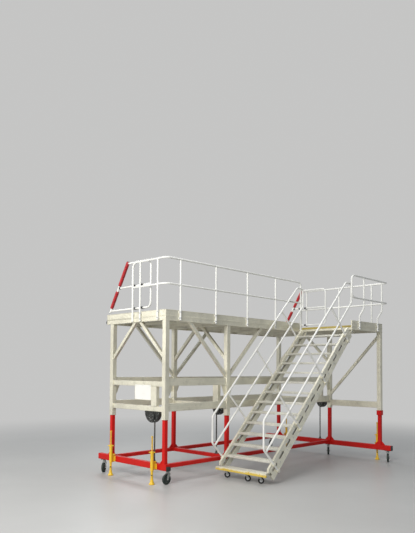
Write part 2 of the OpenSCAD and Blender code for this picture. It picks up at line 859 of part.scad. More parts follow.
// Deck planks, laid lengthwise between the edge beams
module plank_field(x0, x1, y0, y1)
{
    count = round((y1 - y0) / plank_pitch);
    pitch = (y1 - y0) / count;
    for (i = [0 : count - 1])
        block([x0, y0 + i * pitch, plank_z], [x1, y0 + (i + 1) * pitch - plank_gap, deck_h]);
}
module deck_planks()
{
    color(ALU) placed()
    {
        plank_field(deck_x0 + edge_w, deck_x1 - edge_w, deck_y0 + edge_w, deck_y1 - edge_w);
        plank_field(land_x + edge_w, deck_x1 - edge_w, land_y + edge_w, deck_y0);
    }
}

// Toe boards above the edge beams
module toe_boards()
{
    color(ALU) placed()
    {
        block([deck_x0, deck_y0, deck_h], [land_x, deck_y0 + toe_t, toe_top]);
        block([land_x, land_y, deck_h], [deck_x1, land_y + toe_t, toe_top]);
        block([deck_x0, deck_y0 + toe_t + seam, deck_h], [deck_x0 + toe_t, deck_y1, toe_top]);
        block([deck_x1 - toe_t, land_y + toe_t + seam, deck_h], [deck_x1, deck_y1, toe_top]);
    }
}

// Yellow nosing along the landing's edge
module landing_nosing()
{
    y0 = land_y + toe_t + 2;
    y1 = rail_y0 - rail_d / 2 - 8;
    color(YELLOW) placed()
    {
        block([land_x - 4, y0, deck_h - 40], [land_x, y1, deck_h]);
        block([land_x - 4, y0, deck_h], [land_x + edge_w, y1, deck_h + 4]);
    }
}

// Rubber bumper along the aircraft side
module edge_bumper()
{
    color(BLACK) placed() block([deck_x0, deck_y1, beam_z], [deck_x1, deck_y1 + bumper_t, deck_h]);
}

// Two saddles that hold a post on the fascia: w is the way out of it, and wide half their width
module post_saddles(x, y, w, wide)
{
    out = rail_d / 2;
    a = [x - (w.x == 0 ? wide : 0) - max(0, w.x) * out, y - (w.y == 0 ? wide : 0) - max(0, w.y) * out, 0];
    b = [x + (w.x == 0 ? wide : 0) - min(0, w.x) * out, y + (w.y == 0 ? wide : 0) - min(0, w.y) * out, 30];
    for (z = [rail_foot + 30, toe_top - 50]) translate([0, 0, z]) block(a, b);
}

// Posts of the fixed guard rails, coped under the top rails; the landing's are cranked outwards
module guard_posts()
{
    color(WHITE) placed() difference()
    {
        union()
        {
            for (p = POSTS)
            {
                rod([p[0], p[1], rail_foot], [p[0], p[1], rail_z], post_d);
                post_saddles(p[0], p[1], [p[2], p[3]], saddle_w / 2);
            }
            for (p = END_POSTS)
            {
                rod([p[0], p[1], rail_foot], [p[0], p[1], rail_z - rail_bend], rail_d);
                post_saddles(p[0], p[1], [p[2], p[3]], rail_d / 2);
            }
            for (x = LAND_POSTS)
            {
                bent_tube([[x, land_rail_y, rail_z], [x, land_rail_y, crank_top], [x, land_stub_y, crank_low],
                    [x, land_stub_y, rail_foot]], post_d, 80);
                post_saddles(x, land_stub_y, [0, -1], saddle_w / 2);
            }
        }
        tube_runs(LONG_TOP, rail_d + 2 * seam, rail_bend, 1, 2);
        tube_runs(LANDING, rail_d + 2 * seam, rail_bend, 3, 4);
    }
}

// Straight lengths of the fixed guard rails; the mid rails are cut to fit between the posts
module guard_rails()
{
    color(WHITE) placed()
    {
        tube_runs(LONG_TOP, rail_d, rail_bend, 1, 2);
        tube_runs(LANDING, rail_d, rail_bend, 2, 4);
        difference()
        {
            union()
            {
                tube_runs(LONG_MID, mid_rail_d, rail_bend, 0, 1);
                tube_runs(LANDING, rail_d, rail_bend, 0, 1);
            }
            for (p = POSTS) rod([p[0], p[1], rail_foot], [p[0], p[1], rail_z], post_d + 2 * seam);
            for (p = END_POSTS) rod([p[0], p[1], rail_foot], [p[0], p[1], rail_z], rail_d + 2 * seam);
            for (x = LAND_POSTS) rod([x, land_rail_y, crank_top], [x, land_rail_y, rail_z], post_d + 2 * seam);
        }
    }
}

// Bends of the fixed guard rails
module guard_bends()
{
    color(WHITE) placed()
    {
        tube_bends(LONG_TOP, rail_d, rail_bend);
        tube_bends(LONG_MID, mid_rail_d, rail_bend);
        tube_bends(LANDING, rail_d, rail_bend);
    }
}

// Clamps on the fixed posts, in which the sliding guards' rails run
module guide_clamp(x, y, side, d)
{
    guard_x = x + side * guard_step;
    for (z = [guard_low, guard_mid]) difference()
    {
        block([min(x - side * 6, guard_x + side * 26), y - clamp_w / 2, z - clamp_h / 2],
            [max(x - side * 6, guard_x + side * 26), y + clamp_w / 2, z + clamp_h / 2]);
        translate([x, y, z - clamp_h]) cylinder(h = 2 * clamp_h, d = d + 2 * seam);
        translate([guard_x, y + clamp_w, z]) rotate([90, 0, 0])
            cylinder(h = 2 * clamp_w, d = guard_tube + 2 * pad_play);
    }
}
module guide_clamps()
{
    color(BLACK) placed()
    {
        guide_clamp(rail_x0, LEFT_POSTS[1], 1, post_d);
        guide_clamp(rail_x0, left_end, 1, rail_d);
        guide_clamp(rail_x1, RIGHT_POSTS[2], -1, post_d);
        guide_clamp(rail_x1, right_end, -1, rail_d);
    }
}

// Place of a front pole's centre line at height z, for a guard whose rear upright is at y
function pole_y(y, z) = y + guard_len - (z - guard_low) * tan(guard_lean);

// Sliding guard: a rounded frame with a leaning front pole
module guard(x, y)
{
    color(WHITE) placed()
    {
        bent_tube([[x, pole_y(y, guard_top), guard_top], [x, y, guard_top], [x, y, guard_low],
            [x, pole_y(y, guard_low), guard_low]], guard_tube, rail_bend);
        rod([x, y, guard_mid], [x, pole_y(y, guard_mid), guard_mid], guard_tube);
        rod([x, pole_y(y, pole_low), pole_low], [x, pole_y(y, pole_high), pole_high], pole_d);
    }
}

// Padding on the front pole of a sliding guard
module guard_pad(x, y)
{
    color(RED) placed() for (p = PADS)
    {
        z0 = p[0];
        z1 = p[1];
        difference()
        {
            rod([x, pole_y(y, z0), z0], [x, pole_y(y, z1), z1], guard_pad_d);
            rod([x, pole_y(y, z0 - 50), z0 - 50], [x, pole_y(y, z1 + 50), z1 + 50], pole_d + 2 * pad_play);
        }
    }
}

// Lugs and pins of the stair's hinge, under the landing's edge beam
module hinge_lugs()
{
    color(ALU) placed() for (y = [near_out, far_in])
    {
        for (side = [y - hinge_side - lug_t, y + stringer_t + hinge_side])
            block([hinge_x - 20, side, hinge_z], [hinge_x + 30, side + lug_t, beam_z]);
        for (side = [y - hinge_side - lug_t, y + stringer_t + hinge_side])
            translate([hinge_x + 5, side + lug_t, hinge_z]) rotate([90, 0, 0]) cylinder(h = lug_t, r = 25);
        translate([hinge_x, y + stringer_t + hinge_side + lug_t, hinge_z]) rotate([90, 0, 0])
            cylinder(h = stringer_t + 2 * hinge_side + 2 * lug_t, d = hinge_pin);
    }
}

// Band of a stringer from s0 up the slope, between two heights above the nosing line
module band(s0, n0, n1)
{
    polygon([at(s0, n0), at(stringer_end, n0), at(stringer_end, n1), at(s0, n1)]);
}

// Part of a stringer's outline that lies behind its upright front cut
module stringer_cut()
{
    intersection()
    {
        children();
        translate([stringer_front, 0]) square([2 * x_end, 2 * deck_h]);
    }
}

// Stringer: two chords, a slotted web on their outer side, and the hinge eye
module stringer(y, web_side)
{
    slot_pitch = going / slope_u.x;
    translate([0, y + stringer_t, 0]) rotate([90, 0, 0]) difference()
    {
        union()
        {
            linear_extrude(stringer_t) stringer_cut()
            {
                band(stringer_foot, 0, n_web);
                band(stringer_foot, n_low, n_base);
            }
            translate([0, 0, web_side * (stringer_t - web_t)]) linear_extrude(web_t) stringer_cut()
                band(web_foot, n_web + 1, n_low - 1);
            linear_extrude(stringer_t) polygon([at(stringer_end - 20, hinge_n - hinge_eye),
                at(hinge_s, hinge_n - hinge_eye), at(hinge_s, hinge_n + hinge_eye),
                at(stringer_end - 20, hinge_n + hinge_eye)]);
            translate([hinge_x, hinge_z, 0]) cylinder(h = stringer_t, r = hinge_eye);
        }
        for (i = [1 : tread_count])
        {
            slot_at = at(i * slot_pitch + slot_shift, (n_web + n_low) / 2);
            translate([slot_at.x, slot_at.y, -1]) rotate(stair_slope) linear_extrude(stringer_t + 2)
                rounded(slot_len, slot_h, slot_h / 2 - 1);
        }
        translate([hinge_x, hinge_z, -1]) cylinder(h = stringer_t + 2, d = hinge_pin + 2 * play);
    }
}

module stringers()
{
    color(ALU) placed()
    {
        stringer(near_out, 1);
        stringer(far_in, 0);
    }
}

// Treads between the stringers: channels that are open below, with a web under the middle
module treads()
{
    lip = 18;
    skin = 5;
    color(ALU) placed() for (i = [1 : tread_count])
        translate([nose_x + i * going, far_in, step_z + i * rise]) rotate([90, 0, 0]) linear_extrude(tread_w)
            polygon([[0, 0], [tread_len, 0], [tread_len, -tread_t], [tread_len - lip, -tread_t],
                [tread_len - lip, skin - tread_t], [tread_len - skin, skin - tread_t],
                [tread_len - skin, -skin], [(tread_len + skin) / 2, -skin],
                [(tread_len + skin) / 2, skin - tread_t], [(tread_len - skin) / 2, skin - tread_t],
                [(tread_len - skin) / 2, -skin], [skin, -skin], [skin, skin - tread_t],
                [lip, skin - tread_t], [lip, -tread_t], [0, -tread_t]]);
}

// Bottom step over the stair's castors, and its yellow nosing
module bottom_step()
{
    color(ALU) placed() block([step_front, near_in, step_z - step_t], [nose_x + step_len, far_in, step_z]);
}
module step_nosing()
{
    color(YELLOW) placed() block([step_front - nosing_t, near_out - 8, step_z - step_t - 4],
        [step_front, -stringer_gap + 8, step_z + 4]);
}

// Handrails: a closed loop on each side, with posts that run down over the stringers
module handrail_tubes()
{
    color(WHITE) placed() for (y = HAND_YS)
    {
        tube_runs(hand_path(y), rail_d, hand_bend, 0, 4);
        difference()
        {
            tube_runs(hand_path(y), rail_d, hand_bend, 5, 5);
            rod(at3(link_s, n_base, y), at3(link_s, link_n, y), rail_d + 2 * seam);
            for (s = HAND_POSTS) rod(at3(s, 0, y), at3(s, hand_n, y), post_d + 2 * seam);
        }
    }
}
module handrail_bends()
{
    color(WHITE) placed() for (y = HAND_YS) tube_bends(hand_path(y), rail_d, hand_bend);
}
module handrail_posts()
{
    color(WHITE) placed() for (y = HAND_YS) difference()
    {
        for (s = HAND_POSTS) rod(at3(s, n_base + 10, y), at3(s, hand_n, y), post_d);
        tube_runs(hand_path(y), rail_d + 2 * seam, hand_bend, 2, 2);
    }
}

// Clamps that hold the handrails' posts to the stringers
module hand_clamp(s, n, y, out, face, h, d)
{
    w = 70;
    y_out = y + out * (rail_d / 2 + 5);
    difference()
    {
        translate([at(s, n).x, 0, at(s, n).y]) rotate([0, -stair_slope, 0])
            block([-w / 2, min(face, y_out), -h / 2], [w / 2, max(face, y_out), h / 2]);
        rod(at3(s, n - h, y), at3(s, n + h, y), d + 2 * seam);
    }
}
module handrail_clamps()
{
    color(ALU) placed() for (side = [[hand_near_y, near_out, -1], [hand_far_y, -stringer_gap, 1]])
    {
        for (n = clamp_n)
        {
            for (s = HAND_POSTS) hand_clamp(s, n, side[0], side[2], side[1], 40, post_d);
            hand_clamp(link_s, n, side[0], side[2], side[1], 40, rail_d);
        }
    }
}

// Plates that carry the stair's castors under the bottom step
module step_castor_plates()
{
    color(ZINC) placed() for (c = STEP_CASTORS) translate([step_castor_x, c.x, step_castor_top])
        linear_extrude(step_plate_t) rounded(86, 70, 6);
}
module step_fork(c)
{
    color(ZINC) placed() translate([step_castor_x, c.x, 0]) rotate(c.y)
        fork_body(step_wheel_d, step_wheel_w, step_trail, step_castor_top - seam, step_axle_d);
}
module step_wheel(c)
{
    color(BLACK) placed() translate([step_castor_x, c.x, 0]) rotate(c.y)
        translate([step_trail, 0, step_wheel_d / 2]) castor_wheel(step_wheel_d, step_wheel_w, step_axle_d);
}

base_frame();
beam_cap();
inner_legs();
leg_gussets();
castor_plates();
jack_brackets();
jack_sleeves();
lift_spindles();
main_fork(CASTORS[0]);  // fork_left_near
main_fork(CASTORS[1]);  // fork_left_far
main_fork(CASTORS[2]);  // fork_right_mid
main_fork(CASTORS[3]);  // fork_right_near
main_fork(CASTORS[4]);  // fork_right_far
main_wheel(CASTORS[0]);  // wheel_left_near
main_wheel(CASTORS[1]);  // wheel_left_far
main_wheel(CASTORS[2]);  // wheel_right_mid
main_wheel(CASTORS[3]);  // wheel_right_near
main_wheel(CASTORS[4]);  // wheel_right_far
jack(JACKS[0]);  // jack_left_near
jack(JACKS[1]);  // jack_left_far
jack(JACKS[2]);  // jack_right_near
jack(JACKS[3]);  // jack_right_far
outer_legs();
wear_pads();
leg_collar();
mid_beams();
braces();
lift_drives();
lift_columns();
notice_board();
deck_edges();
deck_joists();
deck_planks();
toe_boards();
landing_nosing();
edge_bumper();
guard_posts();
guard_rails();
guard_bends();
guide_clamps();
hinge_lugs();
guard(left_guard_x, guard_left_y);  // guard_left
guard_pad(left_guard_x, guard_left_y);  // guard_left_pad
guard(right_guard_x, guard_right_y);  // guard_right
guard_pad(right_guard_x, guard_right_y);  // guard_right_pad
stringers();
treads();
bottom_step();
step_nosing();
handrail_tubes();
handrail_bends();
handrail_posts();
handrail_clamps();
step_castor_plates();
step_fork(STEP_CASTORS[0]);  // step_fork_near
step_fork(STEP_CASTORS[1]);  // step_fork_mid
step_fork(STEP_CASTORS[2]);  // step_fork_far
step_wheel(STEP_CASTORS[0]);  // step_wheel_near
step_wheel(STEP_CASTORS[1]);  // step_wheel_mid
step_wheel(STEP_CASTORS[2]);  // step_wheel_far
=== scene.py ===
"""Looks of the mobile aircraft stairs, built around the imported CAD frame. Lengths are in metres."""

import math
from collections import namedtuple

import bmesh
import bpy
from mathutils import Matrix, Vector, noise


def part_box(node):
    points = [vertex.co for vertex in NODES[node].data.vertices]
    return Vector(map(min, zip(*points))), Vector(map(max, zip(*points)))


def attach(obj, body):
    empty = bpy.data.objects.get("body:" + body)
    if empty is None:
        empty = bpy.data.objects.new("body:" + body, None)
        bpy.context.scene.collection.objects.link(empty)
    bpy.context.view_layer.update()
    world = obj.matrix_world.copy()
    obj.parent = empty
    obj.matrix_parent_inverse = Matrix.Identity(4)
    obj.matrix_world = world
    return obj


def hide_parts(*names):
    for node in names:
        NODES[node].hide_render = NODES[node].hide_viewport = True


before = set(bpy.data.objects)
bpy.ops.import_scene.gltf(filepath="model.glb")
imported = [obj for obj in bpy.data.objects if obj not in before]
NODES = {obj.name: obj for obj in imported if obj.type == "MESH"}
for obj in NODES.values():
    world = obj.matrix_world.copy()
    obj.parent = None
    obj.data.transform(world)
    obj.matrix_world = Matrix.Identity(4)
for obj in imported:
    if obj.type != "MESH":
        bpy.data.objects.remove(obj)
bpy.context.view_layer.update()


# Sizes of the frame, counted in plan from the corner leg at the foot of the stair

ORIGIN = Vector((2.885, 0.182, 0.0))
X_MID, X_END, Y_FAR, Y_LAND = 1.750, 5.770, 1.675, -1.425
LEGS = [(0, 0), (0, Y_FAR), (X_MID, 0), (X_MID, Y_FAR), (X_END, 0), (X_END, Y_FAR), (X_END, Y_LAND)]
LEG_W, SLEEVE_W, SLEEVE_Z = 0.080, 0.100, 1.232
HALF = SLEEVE_W / 2
BASE_TOP, BASE_W, BASE_NEAR, SIDE_BEAM = 0.390, 0.100, 0.092, 0.080
GUSSET = 0.088
# Main castors as [name, x, y, heading]
CASTORS = [
    ["left_near", 0.090, 0.0, 183],
    ["left_far", 0.0, 1.945, 216],
    ["right_mid", X_END, 0.045, 212],
    ["right_near", X_END, -1.630, 207],
    ["right_far", X_END, 1.945, 200]]
# Jacks as [name, x, y, side of the base]
JACKS = [
    ["left_near", -0.150, 0.195, -1],
    ["left_far", -0.150, 1.515, -1],
    ["right_near", 5.920, -1.270, 1],
    ["right_far", 5.920, 1.515, 1]]
JACK_H, JACK_D, JACK_SCREW, JACK_THICK_TOP = 0.920, 0.045, 0.030, 0.445
JACK_LOW, JACK_SLEEVE_TOP, JACK_NUT, JACK_WALL = 0.260, 0.590, 0.040, 0.009
JACK_HOLE_Z, JACK_HOLE, JACK_TOP_HOLE = 0.175, 0.026, 0.012
LIFT_Y, SPINDLE_D, SPINDLE_TOP, SPINDLE_FOOT = 0.300, 0.030, 1.550, 0.012
# Lift drives as [x, from the spindle to the housing's middle, radius]
DRIVES = [[0, 0.048, 0.215], [X_MID, -0.062, 0.145], [X_END, -0.062, 0.145]]
DRIVE_T = 0.070
# Mid beams as (lower edge, depth)
LONG_BEAMS, CROSS_BEAMS = ((1.390, 0.150), (1.880, 0.150)), ((1.380, 0.100), (1.865, 0.100))
LAND_BEAM = (1.290, 0.150)
FLANGE_W, FLANGE_T, FLANGE_OVER = 0.088, 0.006, 0.052
KNEE, LAND_BRACE_FOOT, BRACE_HALF = 0.700, 1.610, 0.030
DECK_H, BEAM_Z, TOE_TOP = 3.240, 3.150, 3.360
DECK_X0, DECK_X1, DECK_Y0, DECK_Y1 = -HALF, X_END + HALF, -HALF, 1.845
LAND_X, LAND_Y = 4.380, Y_LAND - HALF
PLANK, EDGE_W, TOE_T, BUMPER_T = 0.224, 0.050, 0.025, 0.035
RAIL_D, POST_D = 0.042, 0.040
RAIL_Z, MID_Z, RAIL_FOOT = DECK_H + 1.125, DECK_H + 0.620, BEAM_Z + 0.012
RAIL_X0, RAIL_X1, RAIL_Y0 = DECK_X0 - RAIL_D / 2, DECK_X1 + RAIL_D / 2, DECK_Y0 - RAIL_D / 2
POST_FIRST, POST_LAST = 0.312, LAND_X - RAIL_D / 2 - 0.001
LONG_POSTS = [POST_FIRST + i * (POST_LAST - POST_FIRST) / 4 for i in range(4)]
LEFT_POSTS, RIGHT_POSTS, END_POST_Y = (0.174, 0.713), (-1.180, -0.245, 0.768), 0.950
LAND_POSTS, LAND_RAIL_Y, LAND_STUB_Y = (LAND_X + 0.310, X_END - 0.220), LAND_Y - 0.136, LAND_Y - RAIL_D / 2
GUARD_STEP, POLE_D = 0.066, 0.042
GUARD_LOW, GUARD_MID, GUARD_TOP = TOE_TOP + 0.080, MID_Z + 0.045, RAIL_Z + 0.030
POLE_LOW, POLE_HIGH = GUARD_LOW - 0.035, GUARD_TOP + 0.040
GUARD_LEN, GUARD_LEAN = 1.330, math.tan(math.radians(31))
LEAN = Vector((0, -GUARD_LEAN, 1)).normalized()
# Sliding guards as [name, x of the guard, y of its rear upright, way in to the deck]
GUARDS = [
    ["guard_left", RAIL_X0 + GUARD_STEP, 0.460, 1],
    ["guard_right", RAIL_X1 - GUARD_STEP, 0.130, -1]]
# Pads as (name, lower end, upper end)
PADS = (("low", GUARD_LOW + 0.060, GUARD_MID - 0.065), ("high", GUARD_MID + 0.050, POLE_HIGH - 0.006))
PAD_D, PAD_TIES = 0.078, (0.34, 0.66)
TREADS, STEP_Z, TREAD_T = 13, 0.225, 0.038
RISE = (DECK_H - STEP_Z) / (TREADS + 1)
NOSE_X = LAND_X - 0.090 - (TREADS + 1) * RISE
STEP_X = NOSE_X + 0.012
SLOPE = math.sqrt(0.5)
UP_SLOPE, OFF_SLOPE = Vector((SLOPE, 0, SLOPE)), Vector((-SLOPE, 0, SLOPE))
PITCH_S = RISE / SLOPE
FAR_OUT, STRINGER_T, TREAD_W = -0.152, 0.045, 1.203
FAR_IN = FAR_OUT - STRINGER_T
NEAR_IN = FAR_IN - TREAD_W
NEAR_OUT = NEAR_IN - STRINGER_T
N_WEB, N_LOW, N_BASE = -0.075, -0.150, -0.270
HAND_NEAR_Y, HAND_FAR_Y = NEAR_OUT - RAIL_D / 2 - 0.001, FAR_OUT + RAIL_D / 2 + 0.001
HAND_N, HAND_MID_N, LINK_S = 0.792, 0.318, 0.270
HINGE_X, HINGE_Z = LAND_X + 0.020, BEAM_Z - 0.060
HINGE_S = (HINGE_X - NOSE_X + HINGE_Z - STEP_Z) * SLOPE
HAND_POSTS = [i * (HINGE_S - 0.275) / 3 for i in (1, 2, 3)]
CLAMP_N = (N_WEB / 2, (N_LOW + N_BASE) / 2)
# Stair castors as [name, x, y, heading]
STEP_CASTOR_X = NOSE_X + 0.125
STEP_CASTORS = [
    ["near", STEP_CASTOR_X, NEAR_IN + 0.210, -40],
    ["mid", STEP_CASTOR_X, NEAR_IN + 0.545, -47],
    ["far", STEP_CASTOR_X, FAR_IN - 0.110, -43]]
# Sizes of a castor, its rim in shares of the wheel, its plate's bolts from the middle, and its materials
Castor = namedtuple("Castor", "wheel_d wheel_w trail top axle rim bolt_x bolt_y bolt tyre fork disc")
MAIN = Castor(0.200, 0.050, 0.042, 0.262, 0.016, 0.340, 0.036, 0.053, 0.009, "tyre", "fork_zinc", "rim_dark")
STEP = Castor(0.125, 0.032, 0.030, 0.164, 0.012, 0.245, 0.034, 0.027, 0.006, "tyre_black", "zinc", "rim_pale")

X, Y, Z = Vector((1, 0, 0)), Vector((0, 1, 0)), Vector((0, 0, 1))
SIDES = (-1, 1)
CORNERS = [(i, j) for i in SIDES for j in SIDES]


def on_stair(s, n, y):
    """A point s up the slope of the stair, n above its nosing line, at place y."""
    return Vector((NOSE_X + (s - n) * SLOPE, y, STEP_Z + (s + n) * SLOPE))


def on_pole(x, rear, z):
    """A point of a sliding guard's front pole at height z."""
    return Vector((x, rear + GUARD_LEN - (z - GUARD_LOW) * GUARD_LEAN, z))


# Camera

PHOTO_W, PHOTO_H = 415, 533
FOCAL_PX = 572.735
CENTRE_PX = (206.796, 345.215)
EYE = Vector((-10.204, -8.462, 2.199))
YAW, PITCH, ROLL = (math.radians(a) for a in (-45.571, 2.451, 0.398))
SENSOR = 36


def add_object(name, data):
    """Puts a new object in the scene."""
    obj = bpy.data.objects.new(name, data)
    bpy.context.scene.collection.objects.link(obj)
    return obj


def make_camera():
    """The camera that took the photograph, as fitted to the object's straight lines."""
    cam = bpy.data.cameras.new("photo_camera")
    cam.sensor_fit = "VERTICAL"
    cam.sensor_height = SENSOR
    cam.lens = FOCAL_PX / PHOTO_H * SENSOR
    cam.shift_x = (PHOTO_W / 2 - CENTRE_PX[0]) / PHOTO_H
    cam.shift_y = (CENTRE_PX[1] - PHOTO_H / 2) / PHOTO_H
    cam.clip_end = 400
    forward = Vector((-math.sin(YAW) * math.cos(PITCH), math.cos(YAW) * math.cos(PITCH), math.sin(PITCH)))
    level = Vector((math.cos(YAW), math.sin(YAW), 0))
    upright = level.cross(forward)
    right = level * math.cos(ROLL) + upright * math.sin(ROLL)
    up = upright * math.cos(ROLL) - level * math.sin(ROLL)
    obj = add_object("photo_camera", cam)
    obj.matrix_world = Matrix.Translation(EYE) @ Matrix((right, up, -forward)).transposed().to_4x4()
    bpy.context.scene.camera = obj


# Materials

def rgba(value):
    """A colour with its alpha; any other value as it is."""
    return (*value, 1.0) if isinstance(value, tuple) and len(value) == 3 else value


def shade(color, factor):
    """A colour made darker or lighter."""
    return tuple(min(1.0, c * factor) for c in color)


class Finish:
    """A procedural material: helpers that add nodes, and the shader that they feed."""

    def __init__(self, name):
        self.mat = bpy.data.materials.new(name)
        self.mat.use_nodes = True
        self.tree = self.mat.node_tree
        self.shader = self.tree.nodes["Principled BSDF"]
        self.coords = self.add("TexCoord").outputs["Object"]

    def add(self, kind, links=(), **values):
        """A node with its settings, and its inputs as (input, socket or value) pairs."""
        node = self.tree.nodes.new("ShaderNode" + kind)
        for key, value in values.items():
            setattr(node, key, value)
        for key, value in links:
            self.put(node, key, value)
        return node

    def put(self, node, key, value):
        """Links a socket to an input, or sets the input's own value."""
        if isinstance(value, bpy.types.NodeSocket):
            self.tree.links.new(value, node.inputs[key])
        else:
            node.inputs[key].default_value = value

    def set(self, **values):
        """Sets or links the shader's own inputs, named with underscores."""
        for key, value in values.items():
            self.put(self.shader, key.replace("_", " "), rgba(value))

    def noise(self, scale, detail, rough, stretch=None):
        """Noise in the object's coordinates, which stretch scales by axis."""
        place = self.coords
        if stretch:
            place = self.add("Mapping", [("Vector", place), ("Scale", stretch)]).outputs[0]
        links = [("Vector", place), ("Scale", scale), ("Detail", detail), ("Roughness", rough)]
        return self.add("TexNoise", links).outputs["Fac"]

    def span(self, value, low, high, to_low=0.0, to_high=1.0):
        """The value's range from low to high, spread over another range and held inside it."""
        links = [("Value", value), ("From Min", low), ("From Max", high),
                 ("To Min", to_low), ("To Max", to_high)]
        return self.add("MapRange", links, clamp=True).outputs["Result"]

    def math(self, operation, a, b=0.0):
        return self.add("Math", [(0, a), (1, b)], operation=operation).outputs[0]

    def times(self, a, b):
        return self.math("MULTIPLY", a, b)

    def plus(self, a, b):
        return self.math("ADD", a, b)

    def dot(self, a, b):
        return self.add("VectorMath", [(0, a), (1, b)], operation="DOT_PRODUCT").outputs["Value"]

    def mix(self, factor, a, b):
        """Colour a, and colour b where the factor is one."""
        return self.add("Mix", [(0, factor), (6, rgba(a)), (7, rgba(b))], data_type="RGBA").outputs[2]

    def over(self, base, color, value, low, high, most=1.0):
        """A colour laid over the base: none of it where the value is low, and most where it is high."""
        return self.mix(self.span(value, low, high, 0.0, most), base, color)

    def rounded(self, radius):
        """The normal, rounded at the edges."""
        return self.add("Bevel", [("Radius", radius)], samples=4).outputs[0]

    def edges(self, radius):
        """Near one on the edges that wear, zero on the faces between them."""
        plain = self.add("NewGeometry").outputs["Normal"]
        return self.span(self.dot(self.rounded(radius), plain), 0.995, 0.85)

    def height(self):
        """Height over the floor."""
        return self.add("SeparateXYZ", [("Vector", self.coords)]).outputs["Z"]

    def over_nosing(self):
        """Height over the stair's nosing line, square to its slope."""
        return self.plus(self.dot(self.coords, OFF_SLOPE), (NOSE_X - ORIGIN.x - STEP_Z) * SLOPE)

    def normal(self, axis):
        """A part of the surface's normal."""
        normal = self.add("NewGeometry").outputs["Normal"]
        return self.add("SeparateXYZ", [("Vector", normal)]).outputs[axis]

    def set_bump(self, height, strength, distance, radius=0.0):
        """Bump from a height, with the edges rounded where a radius is given."""
        links = [("Height", height), ("Strength", strength), ("Distance", distance)]
        if radius:
            links.append(("Normal", self.rounded(radius)))
        self.set(Normal=self.add("Bump", links).outputs[0])


GRIME, SHADOWED, STAIN = (0.155, 0.145, 0.120), (0.030, 0.029, 0.026), (0.33, 0.29, 0.22)


def slot_wall_shade(f, blotch):
    """Painted shade on the walls of the stringers' slots: between two heights, on faces that don't look
    sideways.
    """
    off = f.math("ABSOLUTE", f.plus(f.over_nosing(), -(N_WEB + N_LOW) / 2))
    half = (N_WEB - N_LOW) / 2
    band = f.span(off, half + 0.006, half - 0.006)
    walls = f.times(band, f.span(f.math("ABSOLUTE", f.normal("Y")), 0.6, 0.3))
    return f.times(walls, f.span(blotch, 0.30, 0.62, 0.85, 1.0))


def metal(name, color, grain, metallic=0.55, rough=0.40, streak=0.10, trodden=0.0, slotted=False):
    """Bare metal: drawing marks, dull patches, stains and bright edges, with dirt where it is trodden,
    and painted shade on the walls of the stringers' slots."""
    f = Finish(name)
    drawn = f.noise(1.0, 4.0, 0.6, grain)
    blotch = f.noise(5.5, 5.0, 0.65)
    spots = f.noise(38.0, 5.0, 0.7)
    base = f.over(shade(color, 1.06), shade(color, 0.74), f.noise(1.1, 5.0, 0.65), 0.42, 0.66, 0.75)
    base = f.over(base, shade(color, 0.72), drawn, 0.35, 0.7, streak * 4)
    base = f.over(base, shade(color, 0.60), blotch, 0.54, 0.74, 0.55)
    base = f.over(base, STAIN, spots, 0.64, 0.78, 0.45)
    if trodden:
        upward = f.span(f.normal("Z"), 0.6, 0.9)
        base = f.mix(f.times(upward, f.span(blotch, 0.30, 0.62, 0.55 * trodden, trodden)), base, GRIME)
    if slotted:
        # Painted shade: the walls of the stringers' slots are darkened to the colour of shadow
        base = f.mix(slot_wall_shade(f, blotch), base, SHADOWED)
    base = f.mix(f.times(f.edges(0.003), 0.6), base, shade(color, 1.28))
    dull = f.span(blotch, 0.3, 0.8, rough - 0.08, rough + 0.14)
    f.set(Base_Color=base, Metallic=metallic, Roughness=f.plus(f.span(drawn, 0.3, 0.75, 0.0, 0.14), dull))
    f.set_bump(f.plus(drawn, f.times(spots, 0.4)), 0.22, 0.0006, 0.0015)
    return f.mat


def paint(name, color, worn, dirt, rough=0.34, coat=0.25, wear=0.8, dirt_top=0.0, sheen=0.5):
    """Machine paint: slightly uneven, dusty, scuffed, and rubbed through along its edges."""
    f = Finish(name)
    blotch = f.noise(1.7, 4.0, 0.6)
    fine = f.noise(55.0, 5.0, 0.7)
    scuffs = f.noise(9.0, 6.0, 0.75, (1.0, 1.0, 5.0))
    base = f.over(color, shade(color, 0.74), blotch, 0.35, 0.75, 0.5)
    base = f.over(base, shade(color, 1.35), scuffs, 0.60, 0.74, 0.35)
    base = f.over(base, dirt, fine, 0.64, 0.80, 0.35)
    chips = f.times(f.edges(0.004), f.span(f.noise(24.0, 4.0, 0.7), 0.46, 0.60))
    base = f.mix(f.times(chips, wear), base, worn)
    if dirt_top:
        low = f.span(f.height(), dirt_top, 0.0, 0.0, 0.55)
        base = f.mix(f.times(low, f.span(blotch, 0.3, 0.7)), base, dirt)
    f.set(Base_Color=base, Coat_Weight=coat, Coat_Roughness=0.2, Specular_IOR_Level=sheen,
          Roughness=f.span(f.plus(fine, scuffs), 0.6, 1.4, rough, rough + 0.25))
    f.set_bump(f.plus(fine, f.times(scuffs, 0.5)), 0.16, 0.0008, 0.002)
    return f.mat


def rubbed_paint(name, color, bare, low, high):
    """Paint that feet have rubbed to bare metal towards its upper edge."""
    f = Finish(name)
    fine = f.noise(60.0, 5.0, 0.7)
    base = f.over(color, shade(color, 0.55), fine, 0.45, 0.75, 0.4)
    uneven = f.span(f.noise(4.0, 5.0, 0.7), 0.35, 0.65, -0.35, 0.35)
    base = f.over(base, bare, f.plus(f.span(f.height(), low, high, 0.0, 0.65), uneven), 0.25, 0.55)
    base = f.mix(f.times(f.edges(0.003), 0.7), base, shade(bare, 1.1))
    f.set(Base_Color=base, Roughness=f.span(fine, 0.3, 0.8, 0.40, 0.60))
    f.set_bump(fine, 0.2, 0.0008, 0.002)
    return f.mat


